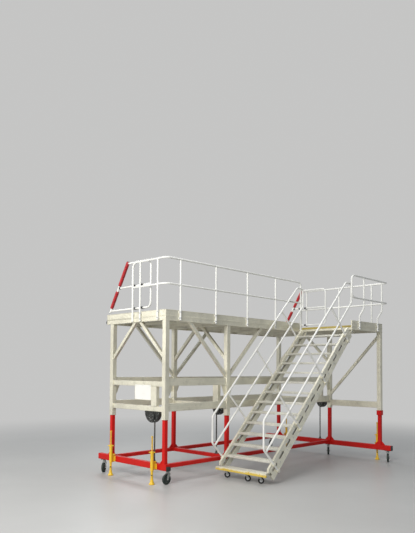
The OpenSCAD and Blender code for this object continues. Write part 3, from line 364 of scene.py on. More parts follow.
def rubber(name, color, dust, rough=0.72, grit=0.35):
    """Moulded rubber or plastic with dust in its grain."""
    f = Finish(name)
    blotch = f.noise(6.0, 4.0, 0.6)
    fine = f.noise(140.0, 4.0, 0.7)
    base = f.over(color, dust, blotch, 0.45, 0.75, grit)
    base = f.over(base, shade(dust, 1.3), fine, 0.60, 0.78, grit)
    f.set(Base_Color=base, Roughness=f.span(blotch, 0.3, 0.8, rough - 0.12, rough + 0.1))
    f.set_bump(fine, 0.3, 0.0006, 0.0015)
    return f.mat


def vinyl(name, color):
    """Coated fabric of the pads: fine grain, soft creases and rubbed places."""
    f = Finish(name)
    weave = f.add("TexVoronoi", [("Vector", f.coords), ("Scale", 420.0)]).outputs["Distance"]
    blotch = f.noise(9.0, 4.0, 0.6)
    crease = f.noise(34.0, 3.0, 0.6, (1.0, 1.0, 0.35))
    base = f.over(color, shade(color, 0.68), blotch, 0.35, 0.75, 0.6)
    base = f.over(base, shade(color, 1.5), crease, 0.58, 0.78, 0.35)
    f.set(Base_Color=base, Sheen_Weight=0.25, Sheen_Roughness=0.4,
          Roughness=f.span(blotch, 0.3, 0.8, 0.42, 0.62))
    f.set_bump(f.plus(f.times(weave, 0.35), crease), 0.35, 0.0012)
    return f.mat


# Grain of drawn metal as scales by axis
UPRIGHT, ALONG_X, ALONG_Y, EVEN = (34.0, 34.0, 1.2), (1.2, 34.0, 34.0), (34.0, 1.2, 34.0), (8.0, 8.0, 8.0)
RIBS_X, RIBS_Y, STAIR_GRAIN = (1.2, 60.0, 60.0), (60.0, 1.2, 60.0), (12.0, 34.0, 12.0)
ALU = (0.80, 0.775, 0.65)
CRIMSON = (0.46, 0.008, 0.014)
MATERIALS = {}


def finish(make, name, slot, *values, **more):
    """Makes a material. The record's slot that it stands for is given but not used."""
    MATERIALS[name] = make(name, *values, **more)


finish(metal, "alu_upright", "aluminium", ALU, UPRIGHT)
finish(metal, "alu_long", "aluminium", ALU, ALONG_X)
finish(metal, "alu_cross", "aluminium", ALU, ALONG_Y)
# Painted light: the stair's aluminium is the frame's made 1.16 times brighter, to make up for the light that
# its faces miss; the walls of its slots get painted shade
finish(metal, "alu_stair", "aluminium", shade(ALU, 1.16), STAIR_GRAIN, slotted=True)
finish(metal, "deck_alloy", "deck_alloy", (0.60, 0.60, 0.56), RIBS_X, rough=0.5, streak=0.14, trodden=0.4)
finish(metal, "tread_alloy", "deck_alloy", (0.72, 0.71, 0.64), RIBS_Y, rough=0.46, trodden=0.4)
finish(metal, "tread_edge", "deck_alloy", (0.80, 0.79, 0.73), RIBS_Y, rough=0.38)
finish(metal, "zinc", "steel", (0.55, 0.56, 0.56), EVEN, metallic=0.8, rough=0.36)
finish(metal, "fork_zinc", "steel", (0.36, 0.38, 0.37), EVEN, metallic=0.8, rough=0.36)
finish(metal, "rim_pale", "steel", (0.72, 0.73, 0.74), EVEN, metallic=0.3, rough=0.5)
finish(paint, "rim_dark", "steel", (0.035, 0.045, 0.040), (0.20, 0.20, 0.19), (0.12, 0.11, 0.09))
finish(paint, "white", "white_paint", (0.88, 0.88, 0.85), (0.66, 0.66, 0.64), (0.48, 0.47, 0.43),
       rough=0.30, coat=0.35, wear=0.5)
finish(paint, "red", "red_paint", (0.60, 0.010, 0.008), (0.40, 0.10, 0.08), (0.14, 0.03, 0.02),
       coat=0.04, dirt_top=0.45, sheen=0.2)
finish(paint, "yellow", "yellow_paint", (0.84, 0.54, 0.025), (0.45, 0.36, 0.20), (0.22, 0.16, 0.06))
# Painted shade: the landing nosing's yellow is darkened and dulled to the tone it shows in shade
finish(paint, "nosing", "yellow_paint", (0.44, 0.34, 0.07), (0.40, 0.35, 0.22), (0.20, 0.15, 0.07))
finish(rubbed_paint, "nosing_rubbed", "yellow_paint", (0.72, 0.52, 0.05), (0.74, 0.70, 0.55),
       STEP_Z - 0.050, STEP_Z)
finish(paint, "black", "black_paint", (0.018, 0.020, 0.018), (0.14, 0.14, 0.13), (0.09, 0.085, 0.07))
finish(paint, "grease", "black_paint", (0.030, 0.028, 0.024), (0.20, 0.19, 0.17), (0.06, 0.05, 0.035),
       rough=0.28, coat=0.5)
finish(rubber, "rubber", "rubber", (0.022, 0.022, 0.022), (0.075, 0.070, 0.062))
finish(rubber, "tyre", "tyre", (0.012, 0.024, 0.020), (0.070, 0.075, 0.062))
finish(rubber, "tyre_black", "tyre", (0.008, 0.008, 0.008), (0.050, 0.048, 0.042), grit=0.25)
finish(rubber, "plastic", "black_plastic", (0.020, 0.020, 0.022), (0.07, 0.07, 0.066), rough=0.5, grit=0.2)
finish(vinyl, "pad", "red_foam", CRIMSON)
finish(vinyl, "pad_trim", "red_foam", shade(CRIMSON, 0.72))

NODE_FINISH = {
    "red": ["base_frame", "inner_legs", "leg_gussets", "leg_collar"],
    "yellow": ["jack_brackets", "jack_sleeves"],
    "nosing_rubbed": ["step_nosing"],
    "nosing": ["landing_nosing"],
    "black": ["castor_plates", "lift_drives", "lift_spindles"],
    "zinc": ["step_castor_plates"],
    # The beam cap's black is painted shade: it stands in for the dark inside of the base beam's open end
    # under the landing's corner leg
    "plastic": ["wear_pads", "guide_clamps", "beam_cap"],
    "alu_upright": ["outer_legs", "braces", "hinge_lugs", "lift_columns"],
    "alu_long": ["mid_beams", "deck_edges", "toe_boards"],
    "alu_cross": ["deck_joists"],
    "alu_stair": ["stringers", "handrail_clamps"],
    "deck_alloy": ["deck_planks"],
    "tread_alloy": ["treads", "bottom_step"],
    "white": ["guard_posts", "guard_rails", "guard_bends", "guard_left", "guard_right", "handrail_tubes",
              "handrail_bends", "handrail_posts", "notice_board"],
}


def finish_nodes():
    """Gives every CAD node its material."""
    for material, names in NODE_FINISH.items():
        for name in names:
            for slot in NODES[name].material_slots:
                slot.material = MATERIALS[material]


# Forms

def turned(angle_z):
    """A turn about the upright axis, in degrees."""
    return Matrix.Rotation(math.radians(angle_z), 4, "Z")


def moved(x, y, z):
    """A shift."""
    return Matrix.Translation((x, y, z))


def aimed(start, way):
    """A place at start whose z axis points along way."""
    return Matrix.Translation(start) @ Vector(way).to_track_quat("Z", "Y").to_matrix().to_4x4()


def rectangle(w, d, corner):
    """Outline of a rectangle about the origin, with cut corners."""
    x, y, c = w / 2, d / 2, min(corner, 0.45 * w, 0.45 * d)
    half = [(x, c - y), (x, y - c), (x - c, y), (c - x, y)]
    return half + [(-a, -b) for a, b in half]


def circle(radius, steps, first=0.0, last=2 * math.pi, close=True):
    """Points of a circle or an arc."""
    count = steps if close else steps - 1
    angles = [first + (last - first) * i / count for i in range(steps)]
    return [(radius * math.cos(a), radius * math.sin(a)) for a in angles]


# How deep fasteners are sunk in their face, and heights of a washer and, in shares of its size, of a head
SUNK, WASHER_T, HEAD_H = -0.0003, 0.0019, 0.62
# Radii of bolt heads, named by their width in millimetres
B10, B12, B14, B16, B18 = 0.005, 0.006, 0.007, 0.008, 0.009
# Radii of weld beads, the step between their ripples in radii, and how much the ripples differ
BEAD_XS, BEAD_S, BEAD_RING, BEAD_M, BEAD_L = 0.0028, 0.003, 0.0032, 0.0035, 0.004
BEAD_STEP, RIPPLE = 1.3, 0.14


class Form:
    """Closed forms gathered in one mesh in plan, and made into one named piece."""

    def __init__(self):
        self.bm = bmesh.new()

    def loft(self, rings, place=Matrix(), loop=False):
        """A skin through rings of equal length; its ends are closed, or joined where it is a loop."""
        made = [[self.bm.verts.new(place @ Vector(p)) for p in ring] for ring in rings]
        count = len(made[0])
        pairs = list(zip(made, made[1:]))
        if loop:
            pairs.append((made[-1], made[0]))
        for a, b in pairs:
            for i in range(count):
                j = (i + 1) % count
                self.bm.faces.new((a[i], a[j], b[j], b[i]))
        if not loop:
            self.bm.faces.new(made[0][::-1])
            self.bm.faces.new(made[-1])

    def prism(self, outline, low, high, place=Matrix(), edge=0.001):
        """An outline in x and y, drawn out along z, with its end edges cut back."""
        inset = [[k * (1 - edge / max(0.004, abs(k))) for k in point] for point in outline]
        levels = [(inset, low), (outline, low + edge), (outline, high - edge), (inset, high)]
        self.loft([[(x, y, z) for x, y in line] for line, z in levels], place)

    def plate(self, outline, near, far, place=Matrix()):
        """An outline in x and z, drawn out along y."""
        self.loft([[(x, y, z) for x, z in outline] for y in (near, far)], place)

    def block(self, a, b, edge=0.001, place=Matrix()):
        """A block between two corners, with its edges cut."""
        a, b = Vector(a), Vector(b)
        w, d, h = (abs(k) for k in b - a)
        self.prism(rectangle(w, d, edge), -h / 2, h / 2, place @ Matrix.Translation((a + b) / 2), edge)

    def lathe(self, profile, place=Matrix(), steps=32, loop=False):
        """A profile of (radius, height) pairs, turned about z."""
        self.loft([[(x, y, z) for x, y in circle(r, steps)] for r, z in profile], place, loop)

    def rod(self, start, end, radius, edge=0.001):
        """A round bar between two points."""
        length = (end - start).length
        profile = [(radius - edge, 0), (radius, edge), (radius, length - edge), (radius - edge, length)]
        self.lathe(profile, aimed(start, end - start), 20)

    def bolt(self, point, way, size, washer=True):
        """A hexagon head, on a washer or not, seated on the face at point and facing way."""
        place = aimed(point, way)
        if washer:
            self.lathe([(1.05 * size, SUNK), (1.05 * size, 0.0017), (0.95 * size, 0.0020)], place, 14)
        base = WASHER_T if washer else SUNK
        top = base + HEAD_H * size
        self.lathe([(0.95 * size, base), (0.95 * size, top - 0.12 * size), (0.84 * size, top)], place, 6)

    def nut(self, point, way, size):
        """A nut with its washer and the end of its bolt."""
        self.bolt(point, way, size)
        tail = WASHER_T + HEAD_H * size
        end = [(0.48 * size, tail - 0.001), (0.48 * size, tail + 0.30 * size),
               (0.40 * size, tail + 0.38 * size)]
        self.lathe(end, aimed(point, way), 10)

    def rivet(self, point, way, radius):
        """A domed head seated on the face at point."""
        dome = [(radius, SUNK), (radius, 0.0004), (0.8 * radius, 0.35 * radius),
                (0.4 * radius, 0.55 * radius)]
        self.lathe(dome, aimed(point, way), 10)

    def sweep(self, points, radius, steps=8, loop=False, ripple=0.0):
        """A round bar along a line of points, rippled as a weld bead is where ripple is given."""
        points = [Vector(p) for p in points]
        last = len(points) - 1
        side = None
        rings = []
        for i, p in enumerate(points):
            before = points[i - 1] if i or loop else p
            after = points[(i + 1) % len(points)] if i < last or loop else p
            way = (after - before).normalized()
            if side is None:
                side = way.orthogonal().normalized()
            side = (side - way * side.dot(way)).normalized()
            up = way.cross(side)
            r = radius * (1 + ripple * (1 if i % 2 else -1))
            rings.append([p + side * x + up * y for x, y in circle(r, steps)])
        if loop:
            for i, ring in enumerate(rings):
                turn = min(range(steps), key=lambda k: (ring[k] - rings[i - 1][0]).length)
                rings[i] = ring[turn:] + ring[:turn]
        self.loft(rings, Matrix(), loop)

    def weld(self, corners, radius=BEAD_M, loop=False):
        """A weld bead along straight runs between corners."""
        corners = [Vector(c) for c in corners]
        ends = corners[1:] + (corners[:1] if loop else [])
        points = []
        for a, b in zip(corners, ends):
            count = max(2, round((b - a).length / (BEAD_STEP * radius)))
            points += [a.lerp(b, i / count) for i in range(count)]
        if not loop:
            points.append(corners[-1])
        self.sweep(points, radius, 6, loop, RIPPLE)

    def weld_ring(self, centre, way, ring, radius=BEAD_RING):
        """A weld bead round a tube."""
        place = aimed(centre, way)
        count = 2 * round(math.pi * ring / (BEAD_STEP * radius))
        self.sweep([place @ Vector((x, y, 0)) for x, y in circle(ring, count)], radius, 6, True, RIPPLE)

    def thread(self, radius, root, low, high, pitch, place):
        """A screw between two heights, its thread fading into the root at both ends."""
        rows, steps = 4, 20
        margin = 0.25 * pitch
        grid = []
        for i in range(-rows, (round((high - low) / pitch) + 1) * rows + 1):
            ring = []
            for j in range(steps):
                z = low + pitch * (i / rows + j / steps)
                crest = i % rows < 2 and low + margin < z < high - margin
                x, y = circle(radius if crest else root, steps)[j]
                ring.append(self.bm.verts.new(place @ Vector((x, y, min(high, max(low, z))))))
            grid.append(ring)
        for i in range(len(grid) - 1):
            a, b = grid[i], grid[i + 1]
            for j in range(steps - 1):
                self.bm.faces.new((a[j], a[j + 1], b[j + 1], b[j]))
            if i + rows + 1 < len(grid):
                self.bm.faces.new((a[-1], grid[i + rows][0], grid[i + rows + 1][0], b[-1]))
        bmesh.ops.remove_doubles(self.bm, verts=[v for ring in grid for v in ring], dist=1e-6)
        bmesh.ops.holes_fill(self.bm, edges=[e for e in self.bm.edges if e.is_boundary], sides=0)

    def mesh(self, name, origin=ORIGIN):
        """The forms as one mesh, in the frame's own coordinates."""
        bmesh.ops.translate(self.bm, verts=self.bm.verts, vec=-origin)
        bmesh.ops.recalc_face_normals(self.bm, faces=self.bm.faces)
        mesh = bpy.data.meshes.new(name)
        self.bm.to_mesh(mesh)
        self.bm.free()
        return mesh

    def piece(self, name, material, body, replaces=(), smooth=40, bevel=0.0, holes=None, slot=None):
        """Makes the piece, less its holes, with its material: it rides on a body."""
        mesh = self.mesh(name)
        if holes:
            mesh = drilled(mesh, holes.mesh(name + "_holes"))
        return make_piece(name, mesh, material, body, replaces, smooth, bevel)


def make_piece(name, mesh, material, body, replaces=(), smooth=40, bevel=0.0):
    """One named piece of the scene, made of a mesh."""
    mesh.materials.clear()
    mesh.materials.append(MATERIALS[material])
    obj = add_object(name, mesh)
    if bevel:
        tool = obj.modifiers.new("edges", "BEVEL")
        tool.width, tool.segments, tool.limit_method, tool.angle_limit = bevel, 2, "ANGLE", math.radians(40)
        apply_modifiers(obj)
    obj.data.polygons.foreach_set("use_smooth", [True] * len(obj.data.polygons))
    obj.data.set_sharp_from_angle(angle=math.radians(smooth))
    if replaces:
        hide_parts(*replaces)
    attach(obj, body)
    return obj


def drilled(mesh, holes):
    """The mesh less the solids in holes."""
    solid, cutter = add_object("solid", mesh), add_object("cutter", holes)
    tool = solid.modifiers.new("holes", "BOOLEAN")
    tool.operation, tool.solver, tool.object = "DIFFERENCE", "EXACT", cutter
    apply_modifiers(solid)
    result = solid.data
    bpy.data.objects.remove(solid)
    bpy.data.objects.remove(cutter)
    return result


def apply_modifiers(obj):
    """Gives the object the mesh that its modifiers make."""
    depsgraph = bpy.context.evaluated_depsgraph_get()
    mesh = bpy.data.meshes.new_from_object(obj.evaluated_get(depsgraph))
    obj.modifiers.clear()
    obj.data = mesh


# Castors

def castor_fork(c, place):
    """Pressed fork: swivel head, crown and two cheeks that taper to the axle."""
    form = Form()
    d, w = c.wheel_d, c.wheel_w
    inner = w / 2 + 0.007
    outer = inner + 0.005
    crown = d + 0.008
    back, head, eye = 0.62 * w, 0.70 * w, 0.95 * c.axle
    top = c.top - 0.0003
    form.lathe([(0.35 * w, crown - 0.005), (head, crown + 0.002), (head, crown + 0.008),
                (0.60 * w, crown + 0.011), (0.60 * w, top - 0.009), (head, top - 0.007),
                (head, top)], place, 28)
    form.lathe([(0.22 * w, crown - 0.010), (0.22 * w, crown)], place, 6)
    form.prism(rectangle(2 * back, 2 * outer, 0.3 * back), crown, crown + 0.008, place)
    arc = circle(eye, 11, math.radians(205), math.radians(335), False)
    cheek = [(-back, crown + 0.006), (-back, crown - 0.10 * d)] + [(c.trail + x, d / 2 + z) for x, z in arc]
    cheek += [(c.trail + 1.05 * eye, 0.62 * d), (c.trail + 0.95 * eye, 0.80 * d), (back, crown - 0.02 * d),
              (back, crown + 0.006)]
    rib = [(-0.45 * back, crown - 0.06 * d), (0.25 * back, crown - 0.06 * d),
           (c.trail + 0.2 * eye, d / 2 + 1.5 * eye), (c.trail - 0.5 * eye, d / 2 + 1.5 * eye)]
    for side in SIDES:
        form.plate(cheek, side * inner, side * outer, place)
        form.plate(rib, side * (outer - 0.001), side * (outer + 0.0015), place)
        boss = place @ moved(c.trail, side * outer, d / 2) @ Matrix.Rotation(-side * math.pi / 2, 4, "X")
        form.lathe([(0.8 * eye, 0), (0.8 * eye, 0.002), (0.7 * eye, 0.003)], boss, 16)
    return form


def castor_axle(c, place):
    """The axle with a nut at each end."""
    form = Form()
    hub = place @ Vector((c.trail, 0, c.wheel_d / 2))
    way = place.to_3x3() @ Y
    reach = way * (c.wheel_w / 2 + 0.012)
    form.rod(hub - reach, hub + reach, c.axle / 2 - 0.0005)
    for side in SIDES:
        form.nut(hub + side * (reach + 0.003 * way), side * way, 0.62 * c.axle)
    return form


def castor_tyre(c, place):
    """Solid tyre: crowned tread with a groove at each shoulder, and a lip where it meets the rim."""
    form = Form()
    half = [(c.rim, 0.43), (c.rim + 0.02, 0.49), (c.rim + 0.045, 0.50), (c.rim + 0.06, 0.47),
            (c.rim + 0.075, 0.50), (0.462, 0.485), (0.482, 0.42), (0.4915, 0.34), (0.4895, 0.315),
            (0.4945, 0.29), (0.499, 0.15), (0.500, 0.0)]
    profile = half + [(r, -h) for r, h in half[-2::-1]]
    form.lathe([(r * c.wheel_d, h * c.wheel_w) for r, h in profile], place, 56, True)
    return form


def castor_rim(c, place):
    """Rim and hub: a dished disc with ribs on both faces."""
    form = Form()
    d, w = c.wheel_d, c.wheel_w
    bore, hub, lip = c.axle / 2 + 0.0012, 0.44 * c.rim * d, c.rim * d
    half = [(bore, 0.54 * w), (hub, 0.54 * w), (hub + 0.005 * d, 0.42 * w), (hub + 0.015 * d, 0.26 * w),
            (lip - 0.055 * d, 0.22 * w), (lip - 0.030 * d, 0.26 * w), (lip - 0.020 * d, 0.43 * w),
            (lip + 0.002 * d, 0.45 * w), (lip + 0.002 * d, 0.40 * w)]
    form.lathe(half + [(r, -h) for r, h in half[::-1]], place, 48, True)
    for side in SIDES:
        near = (hub - 0.004, -0.007 * d, side * 0.18 * w)
        far = (lip - 0.015 * d, 0.007 * d, side * 0.37 * w)
        for k in range(8):
            form.block(near, far, 0.001, place @ turned(45 * k))
    return form


def make_castors():
    """Both kinds of castor, with the bolts of their plates."""
    for kind, table, prefix, body in ((MAIN, CASTORS, "", "base"), (STEP, STEP_CASTORS, "step_", "stair")):
        bolts = Form()
        for name, x, y, heading in table:
            fork, wheel = prefix + "fork_" + name, prefix + "wheel_" + name
            place = moved(x, y, 0) @ turned(heading)
            roll = place @ moved(kind.trail, 0, kind.wheel_d / 2) @ Matrix.Rotation(math.pi / 2, 4, "X")
            castor_fork(kind, place).piece(fork + "_yoke", kind.fork, fork, [fork], bevel=0.0008)
            castor_axle(kind, place).piece(fork + "_axle", "zinc", fork)
            castor_tyre(kind, roll).piece(wheel + "_tyre", kind.tyre, wheel, [wheel], 50)
            castor_rim(kind, roll).piece(wheel + "_rim", kind.disc, wheel, (), 35)
            # The corner castor's bolts are hidden behind its cheek plate
            if name == "left_near":
                continue
            for i, j in CORNERS:
                bolts.nut((x + i * kind.bolt_x, y + j * kind.bolt_y, kind.top), -Z, kind.bolt)
        bolts.piece(prefix + "castor_bolts", "zinc", body)


# Jacks and lift

JACK_HOLE_AXIS, JACK_WING = (X + Y).normalized(), (Y - X).normalized()
STEM, NECK, TUBE = JACK_D / 2, JACK_SCREW / 2, JACK_D / 2 + JACK_WALL


def cross_rod(x, y, z, reach, radius):
    """A rod through a jack, along the axis of its cross holes."""
    form = Form()
    middle = Vector((x, y, z))
    form.rod(middle - JACK_HOLE_AXIS * reach, middle + JACK_HOLE_AXIS * reach, radius)
    return form


def make_jack(name, x, y):
    """A screw jack: bell foot with a black rod sunk in its cross hole as painted shade, threaded stem and
    pierced head.
    """
    place = moved(x, y, 0)
    body = "jack_" + name
    foot = Form()
    foot.lathe([(0.052, 0), (0.058, 0.003), (0.058, 0.009), (0.054, 0.013), (0.043, 0.030), (0.035, 0.052),
                (0.0305, 0.078), (0.0285, 0.092), (STEM, 0.100), (STEM, JACK_THICK_TOP),
                (NECK + 0.002, JACK_THICK_TOP + 0.010), (NECK - 0.0012, JACK_THICK_TOP + 0.011)], place, 40)
    holes = cross_rod(x, y, JACK_HOLE_Z, JACK_D, JACK_HOLE / 2)
    foot.piece(body + "_foot", "yellow", body, [body], 35, holes=holes)
    head = Form()
    head.lathe([(NECK - 0.0012, JACK_H - 0.036), (NECK + 0.004, JACK_H - 0.030),
                (NECK + 0.004, JACK_H - 0.002), (NECK + 0.002, JACK_H)], place, 24)
    holes = cross_rod(x, y, JACK_H - 0.013, JACK_D, JACK_TOP_HOLE / 2)
    head.piece(body + "_head", "yellow", body, (), 35, holes=holes)
    screw = Form()
    screw.thread(NECK, NECK - 0.0016, JACK_THICK_TOP + 0.009, JACK_H - 0.034, 0.006, place)
    screw.weld_ring((x, y, 0.094), Z, 0.0285, BEAD_S)
    screw.piece(body + "_screw", "yellow", body, (), 35)
    # Painted shade: a black rod sunk in the foot's cross hole stands in for the dark inside of the hole
    hole_shade = cross_rod(x, y, JACK_HOLE_Z, STEM - 0.003, JACK_HOLE / 2 - 0.0004)
    hole_shade.piece(body + "_hole_shade", "black", body)


def jack_sleeve(form, x, y):
    """A jack's sleeve with its collars and winged nut."""
    bore, neck = STEM + 0.0008, NECK + 0.0008
    top, nut_top = JACK_SLEEVE_TOP, JACK_SLEEVE_TOP + JACK_NUT
    form.lathe([(bore, JACK_LOW), (TUBE - 0.001, JACK_LOW), (TUBE + 0.0035, JACK_LOW + 0.002),
                (TUBE + 0.0035, JACK_LOW + 0.014), (TUBE, JACK_LOW + 0.016), (TUBE, top - 0.014),
                (TUBE + 0.003, top - 0.012), (TUBE + 0.003, top - 0.001), (TUBE + 0.001, top),
                (TUBE + 0.003, top + 0.001), (TUBE + 0.003, nut_top - 0.003), (TUBE, nut_top),
                (neck, nut_top), (neck, top - 0.010), (bore, top - 0.010)], moved(x, y, 0), 40, True)
    for end in SIDES:
        root = Vector((x, y, nut_top - JACK_NUT / 2)) + JACK_WING * end * (STEM + 0.002)
        form.lathe([(0.0135, 0), (0.0120, 0.012), (0.0100, 0.018), (0.0100, 0.028), (0.0130, 0.031),
                    (0.0135, 0.034), (0.0105, 0.037)], aimed(root, JACK_WING * end), 20)


def jack_web(form, x, y, side):
    """Welded web with two shelves and a seat, which carries a jack on the base's end beam."""
    low, high = 0.272, BASE_TOP + 0.048
    beam, tube = x - side * 0.100, x - side * (TUBE - 0.003)
    form.block((beam, y - 0.008, low), (tube, y + 0.008, high), 0.0015)
    form.block((beam, y - 0.028, low), (beam + side * 0.008, y + 0.028, BASE_TOP - 0.004), 0.0015)
    for z in (low + 0.012, high - 0.022):
        form.block((beam, y - 0.026, z), (tube, y + 0.026, z + 0.010), 0.0015)
    for j in SIDES:
        for at, foot, head in ((beam + side * 0.009, low + 0.004, BASE_TOP - 0.008),
                               (x - side * (TUBE + 0.001), low + 0.006, high - 0.006)):
            form.weld([(at, y + j * 0.0095, foot), (at, y + j * 0.0095, head)], BEAD_S)
    form.bolt((x + side * TUBE, y, JACK_SLEEVE_TOP - 0.050), side * X, B16)


def make_jacks():
    """The four jacks, with their sleeves and the webs that carry them."""
    sleeves = Form()
    webs = Form()
    for name, x, y, side in JACKS:
        make_jack(name, x, y)
        jack_sleeve(sleeves, x, y)
        jack_web(webs, x, y, side)
    sleeves.piece("jack_sleeve_tubes", "yellow", "base", ["jack_sleeves"], 35)
    webs.piece("jack_webs", "yellow", "base", ["jack_brackets"])


def make_spindles():
    """Screws of the lift, in grease-black, on bolted feet."""
    form = Form()
    bolts = Form()
    stem, low = SPINDLE_D / 2, BASE_TOP + SPINDLE_FOOT
    for x, _, _ in DRIVES:
        place = moved(x, LIFT_Y, 0)
        form.lathe([(stem + 0.010, low - 0.001), (stem + 0.010, low + 0.030), (stem + 0.004, low + 0.040),
                    (stem - 0.0015, low + 0.041)], place, 28)
        form.block((x - 0.032, LIFT_Y - 0.040, BASE_TOP), (x + 0.032, LIFT_Y + 0.040, low))
        form.thread(stem, stem - 0.0018, low + 0.040, SPINDLE_TOP, 0.008, place)
        for i, j in CORNERS:
            bolts.bolt((x + i * 0.020, LIFT_Y + j * 0.031, low), Z, B12)
    form.piece("spindle_screws", "grease", "base", ["lift_spindles"], 35)
    bolts.piece("spindle_bolts", "zinc", "base")


def drive_face(trim, bolts, x, side, mid, radius):
    """Rim, cover and bolts on one face of a lift drive's housing."""
    top = CROSS_BEAMS[0][0]
    hub_z = top - 0.47 * radius
    face = x + side * DRIVE_T / 2
    rim = radius - 0.004
    rim_z, rim_bar = top - 0.006, 0.0045
    arc = circle(rim, 25, math.pi, 2 * math.pi, False)
    trim.sweep([(face, mid + a, rim_z + b) for a, b in arc], rim_bar)
    trim.sweep([(face, mid - rim, rim_z), (face, mid + rim, rim_z)], rim_bar)
    cover = [(0.40, -0.004), (0.40, 0.003), (0.34, 0.005), (0.32, 0.0025), (0.15, 0.0025),
             (0.13, 0.010), (0.05, 0.012)]
    place = aimed((face + side * 0.020, mid, hub_z), side * X)
    trim.lathe([(r * radius, z) for r, z in cover], place, 40)
    for a, b in circle(0.245 * radius, 6, math.radians(30), math.radians(390)):
        bolts.bolt((face + side * 0.0225, mid + a, hub_z + b), side * X, B12)
    for a, b in circle(0.90 * radius, 7, math.pi + math.pi / 14, 2 * math.pi - math.pi / 14, False):
        bolts.bolt((face, mid + a, top + b), side * X, B12)
    for k in (-0.75, -0.5, 0.5, 0.75):
        y = mid + k * radius
        deep = radius * math.sqrt(1 - k * k)
        near, far = (x + side * (DRIVE_T / 2 + out) for out in (-0.001, 0.008))
        trim.block((near, y - 0.003, top - 0.85 * deep), (far, y + 0.003, top - 0.008))


def make_drives():
    """Trim and bolts on both faces of the lift's drive housings."""
    trim = Form()
    bolts = Form()
    for x, shift, radius in DRIVES:
        for side in SIDES:
            drive_face(trim, bolts, x, side, LIFT_Y + shift, radius)
    trim.piece("drive_trim", "black", "lift")
    bolts.piece("drive_bolts", "zinc", "lift")


# Base

def square_loop(centre, half, u, v):
    """Corners of a square in the plane of u and v."""
    return [Vector(centre) + (u * a + v * b) * half for a, b in ((1, 1), (-1, 1), (-1, -1), (1, -1))]


def make_base_fittings():
    """Weld beads of the base's joints and leg feet, and the cheek plate over the corner castor."""
    welds = Form()
    side_z, side_half = BASE_TOP - SIDE_BEAM / 2, SIDE_BEAM / 2 - 0.001
    for x, y in LEGS:
        welds.weld(square_loop((x, y, BASE_TOP + 0.001), LEG_W / 2, X, Y), BEAD_L, True)
    for y in (0, Y_FAR):
        for x in (BASE_W / 2, X_END - BASE_W / 2):
            welds.weld(square_loop((x, y, side_z), side_half, Y, Z), BEAD_L, True)
    for y in (SIDE_BEAM / 2, Y_FAR - SIDE_BEAM / 2):
        welds.weld(square_loop((X_MID, y, side_z), side_half, X, Z), BEAD_L, True)
    for x, y in LEGS:
        ways = [X, -X] if x == X_MID else [Y] if x == 0 and y == 0 else [Y, -Y]
        for way in ways:
            for side in SIDES:
                foot = Vector((x, y, BASE_TOP + 0.001)) + Vector((way.y, way.x, 0)) * side * 0.005
                corner = foot + way * LEG_W / 2
                welds.weld([corner + way * 0.004, corner + way * GUSSET], BEAD_S)
                welds.weld([corner, corner + Z * (GUSSET - 0.002)], BEAD_S)
    welds.piece("base_welds", "red", "base")
    cheek = Form()
    face, high = -BASE_NEAR, 0.352
    cheek.block((-0.044, face - 0.012, MAIN.top), (0.058, face - 0.0002, high), 0.0015)
    cheek.block((0.050, face - 0.012, MAIN.top), (0.058, face + 0.050, high), 0.0015)
    for x in (-0.028, 0.036):
        cheek.bolt((x, face - 0.012, high - 0.020), -Y, B16)
    cheek.piece("castor_cheek", "black", "base")


# Legs and beams

def make_leg_fittings():
    """Fixing screws of the wear pads, and lips round the mouths of the sleeves."""
    screws = Form()
    lips = Form()
    for x, y in LEGS:
        foot = Vector((x, y, SLEEVE_Z))
        for way in (X, -X, Y, -Y):
            for z in (0.030, 0.090):
                screws.bolt(foot + Z * z + way * HALF, way, B12)
            wide = way.cross(Z) * (HALF + 0.002)
            low, high = Z * 0.0005 - wide, Z * 0.014 + wide
            lips.block(foot + way * (HALF - 0.001) + low, foot + way * (HALF + 0.002) + high)
    screws.piece("leg_screws", "zinc", "lift")
    lips.piece("leg_lips", "alu_upright", "lift")


def flange(plates, bolts, x, y, beam, way):
    """A bolted end plate where a beam meets a leg; way points along the beam, away from the leg."""
    low, deep = beam
    side = Vector((way.y, way.x, 0))
    centre = Vector((x, y, low + deep / 2)) + way * HALF
    far = centre + way * FLANGE_T
    tall = deep + FLANGE_OVER
    corner = side * FLANGE_W / 2 + Z * tall / 2
    plates.block(centre - corner, far + corner)
    for i, j in CORNERS:
        bolts.bolt(far + side * i * (FLANGE_W / 2 - 0.016) + Z * j * (tall / 2 - 0.013), way, B16)


def brace_bolts(bolts, p, q, way):
    """Two bolts through each end of a brace."""
    along = (q - p).normalized()
    for end, step in ((p, along), (q, -along)):
        for k in (0.065, 0.125):
            for side in SIDES:
                bolts.bolt(end + step * k + way * side * BRACE_HALF, way * side, B16)


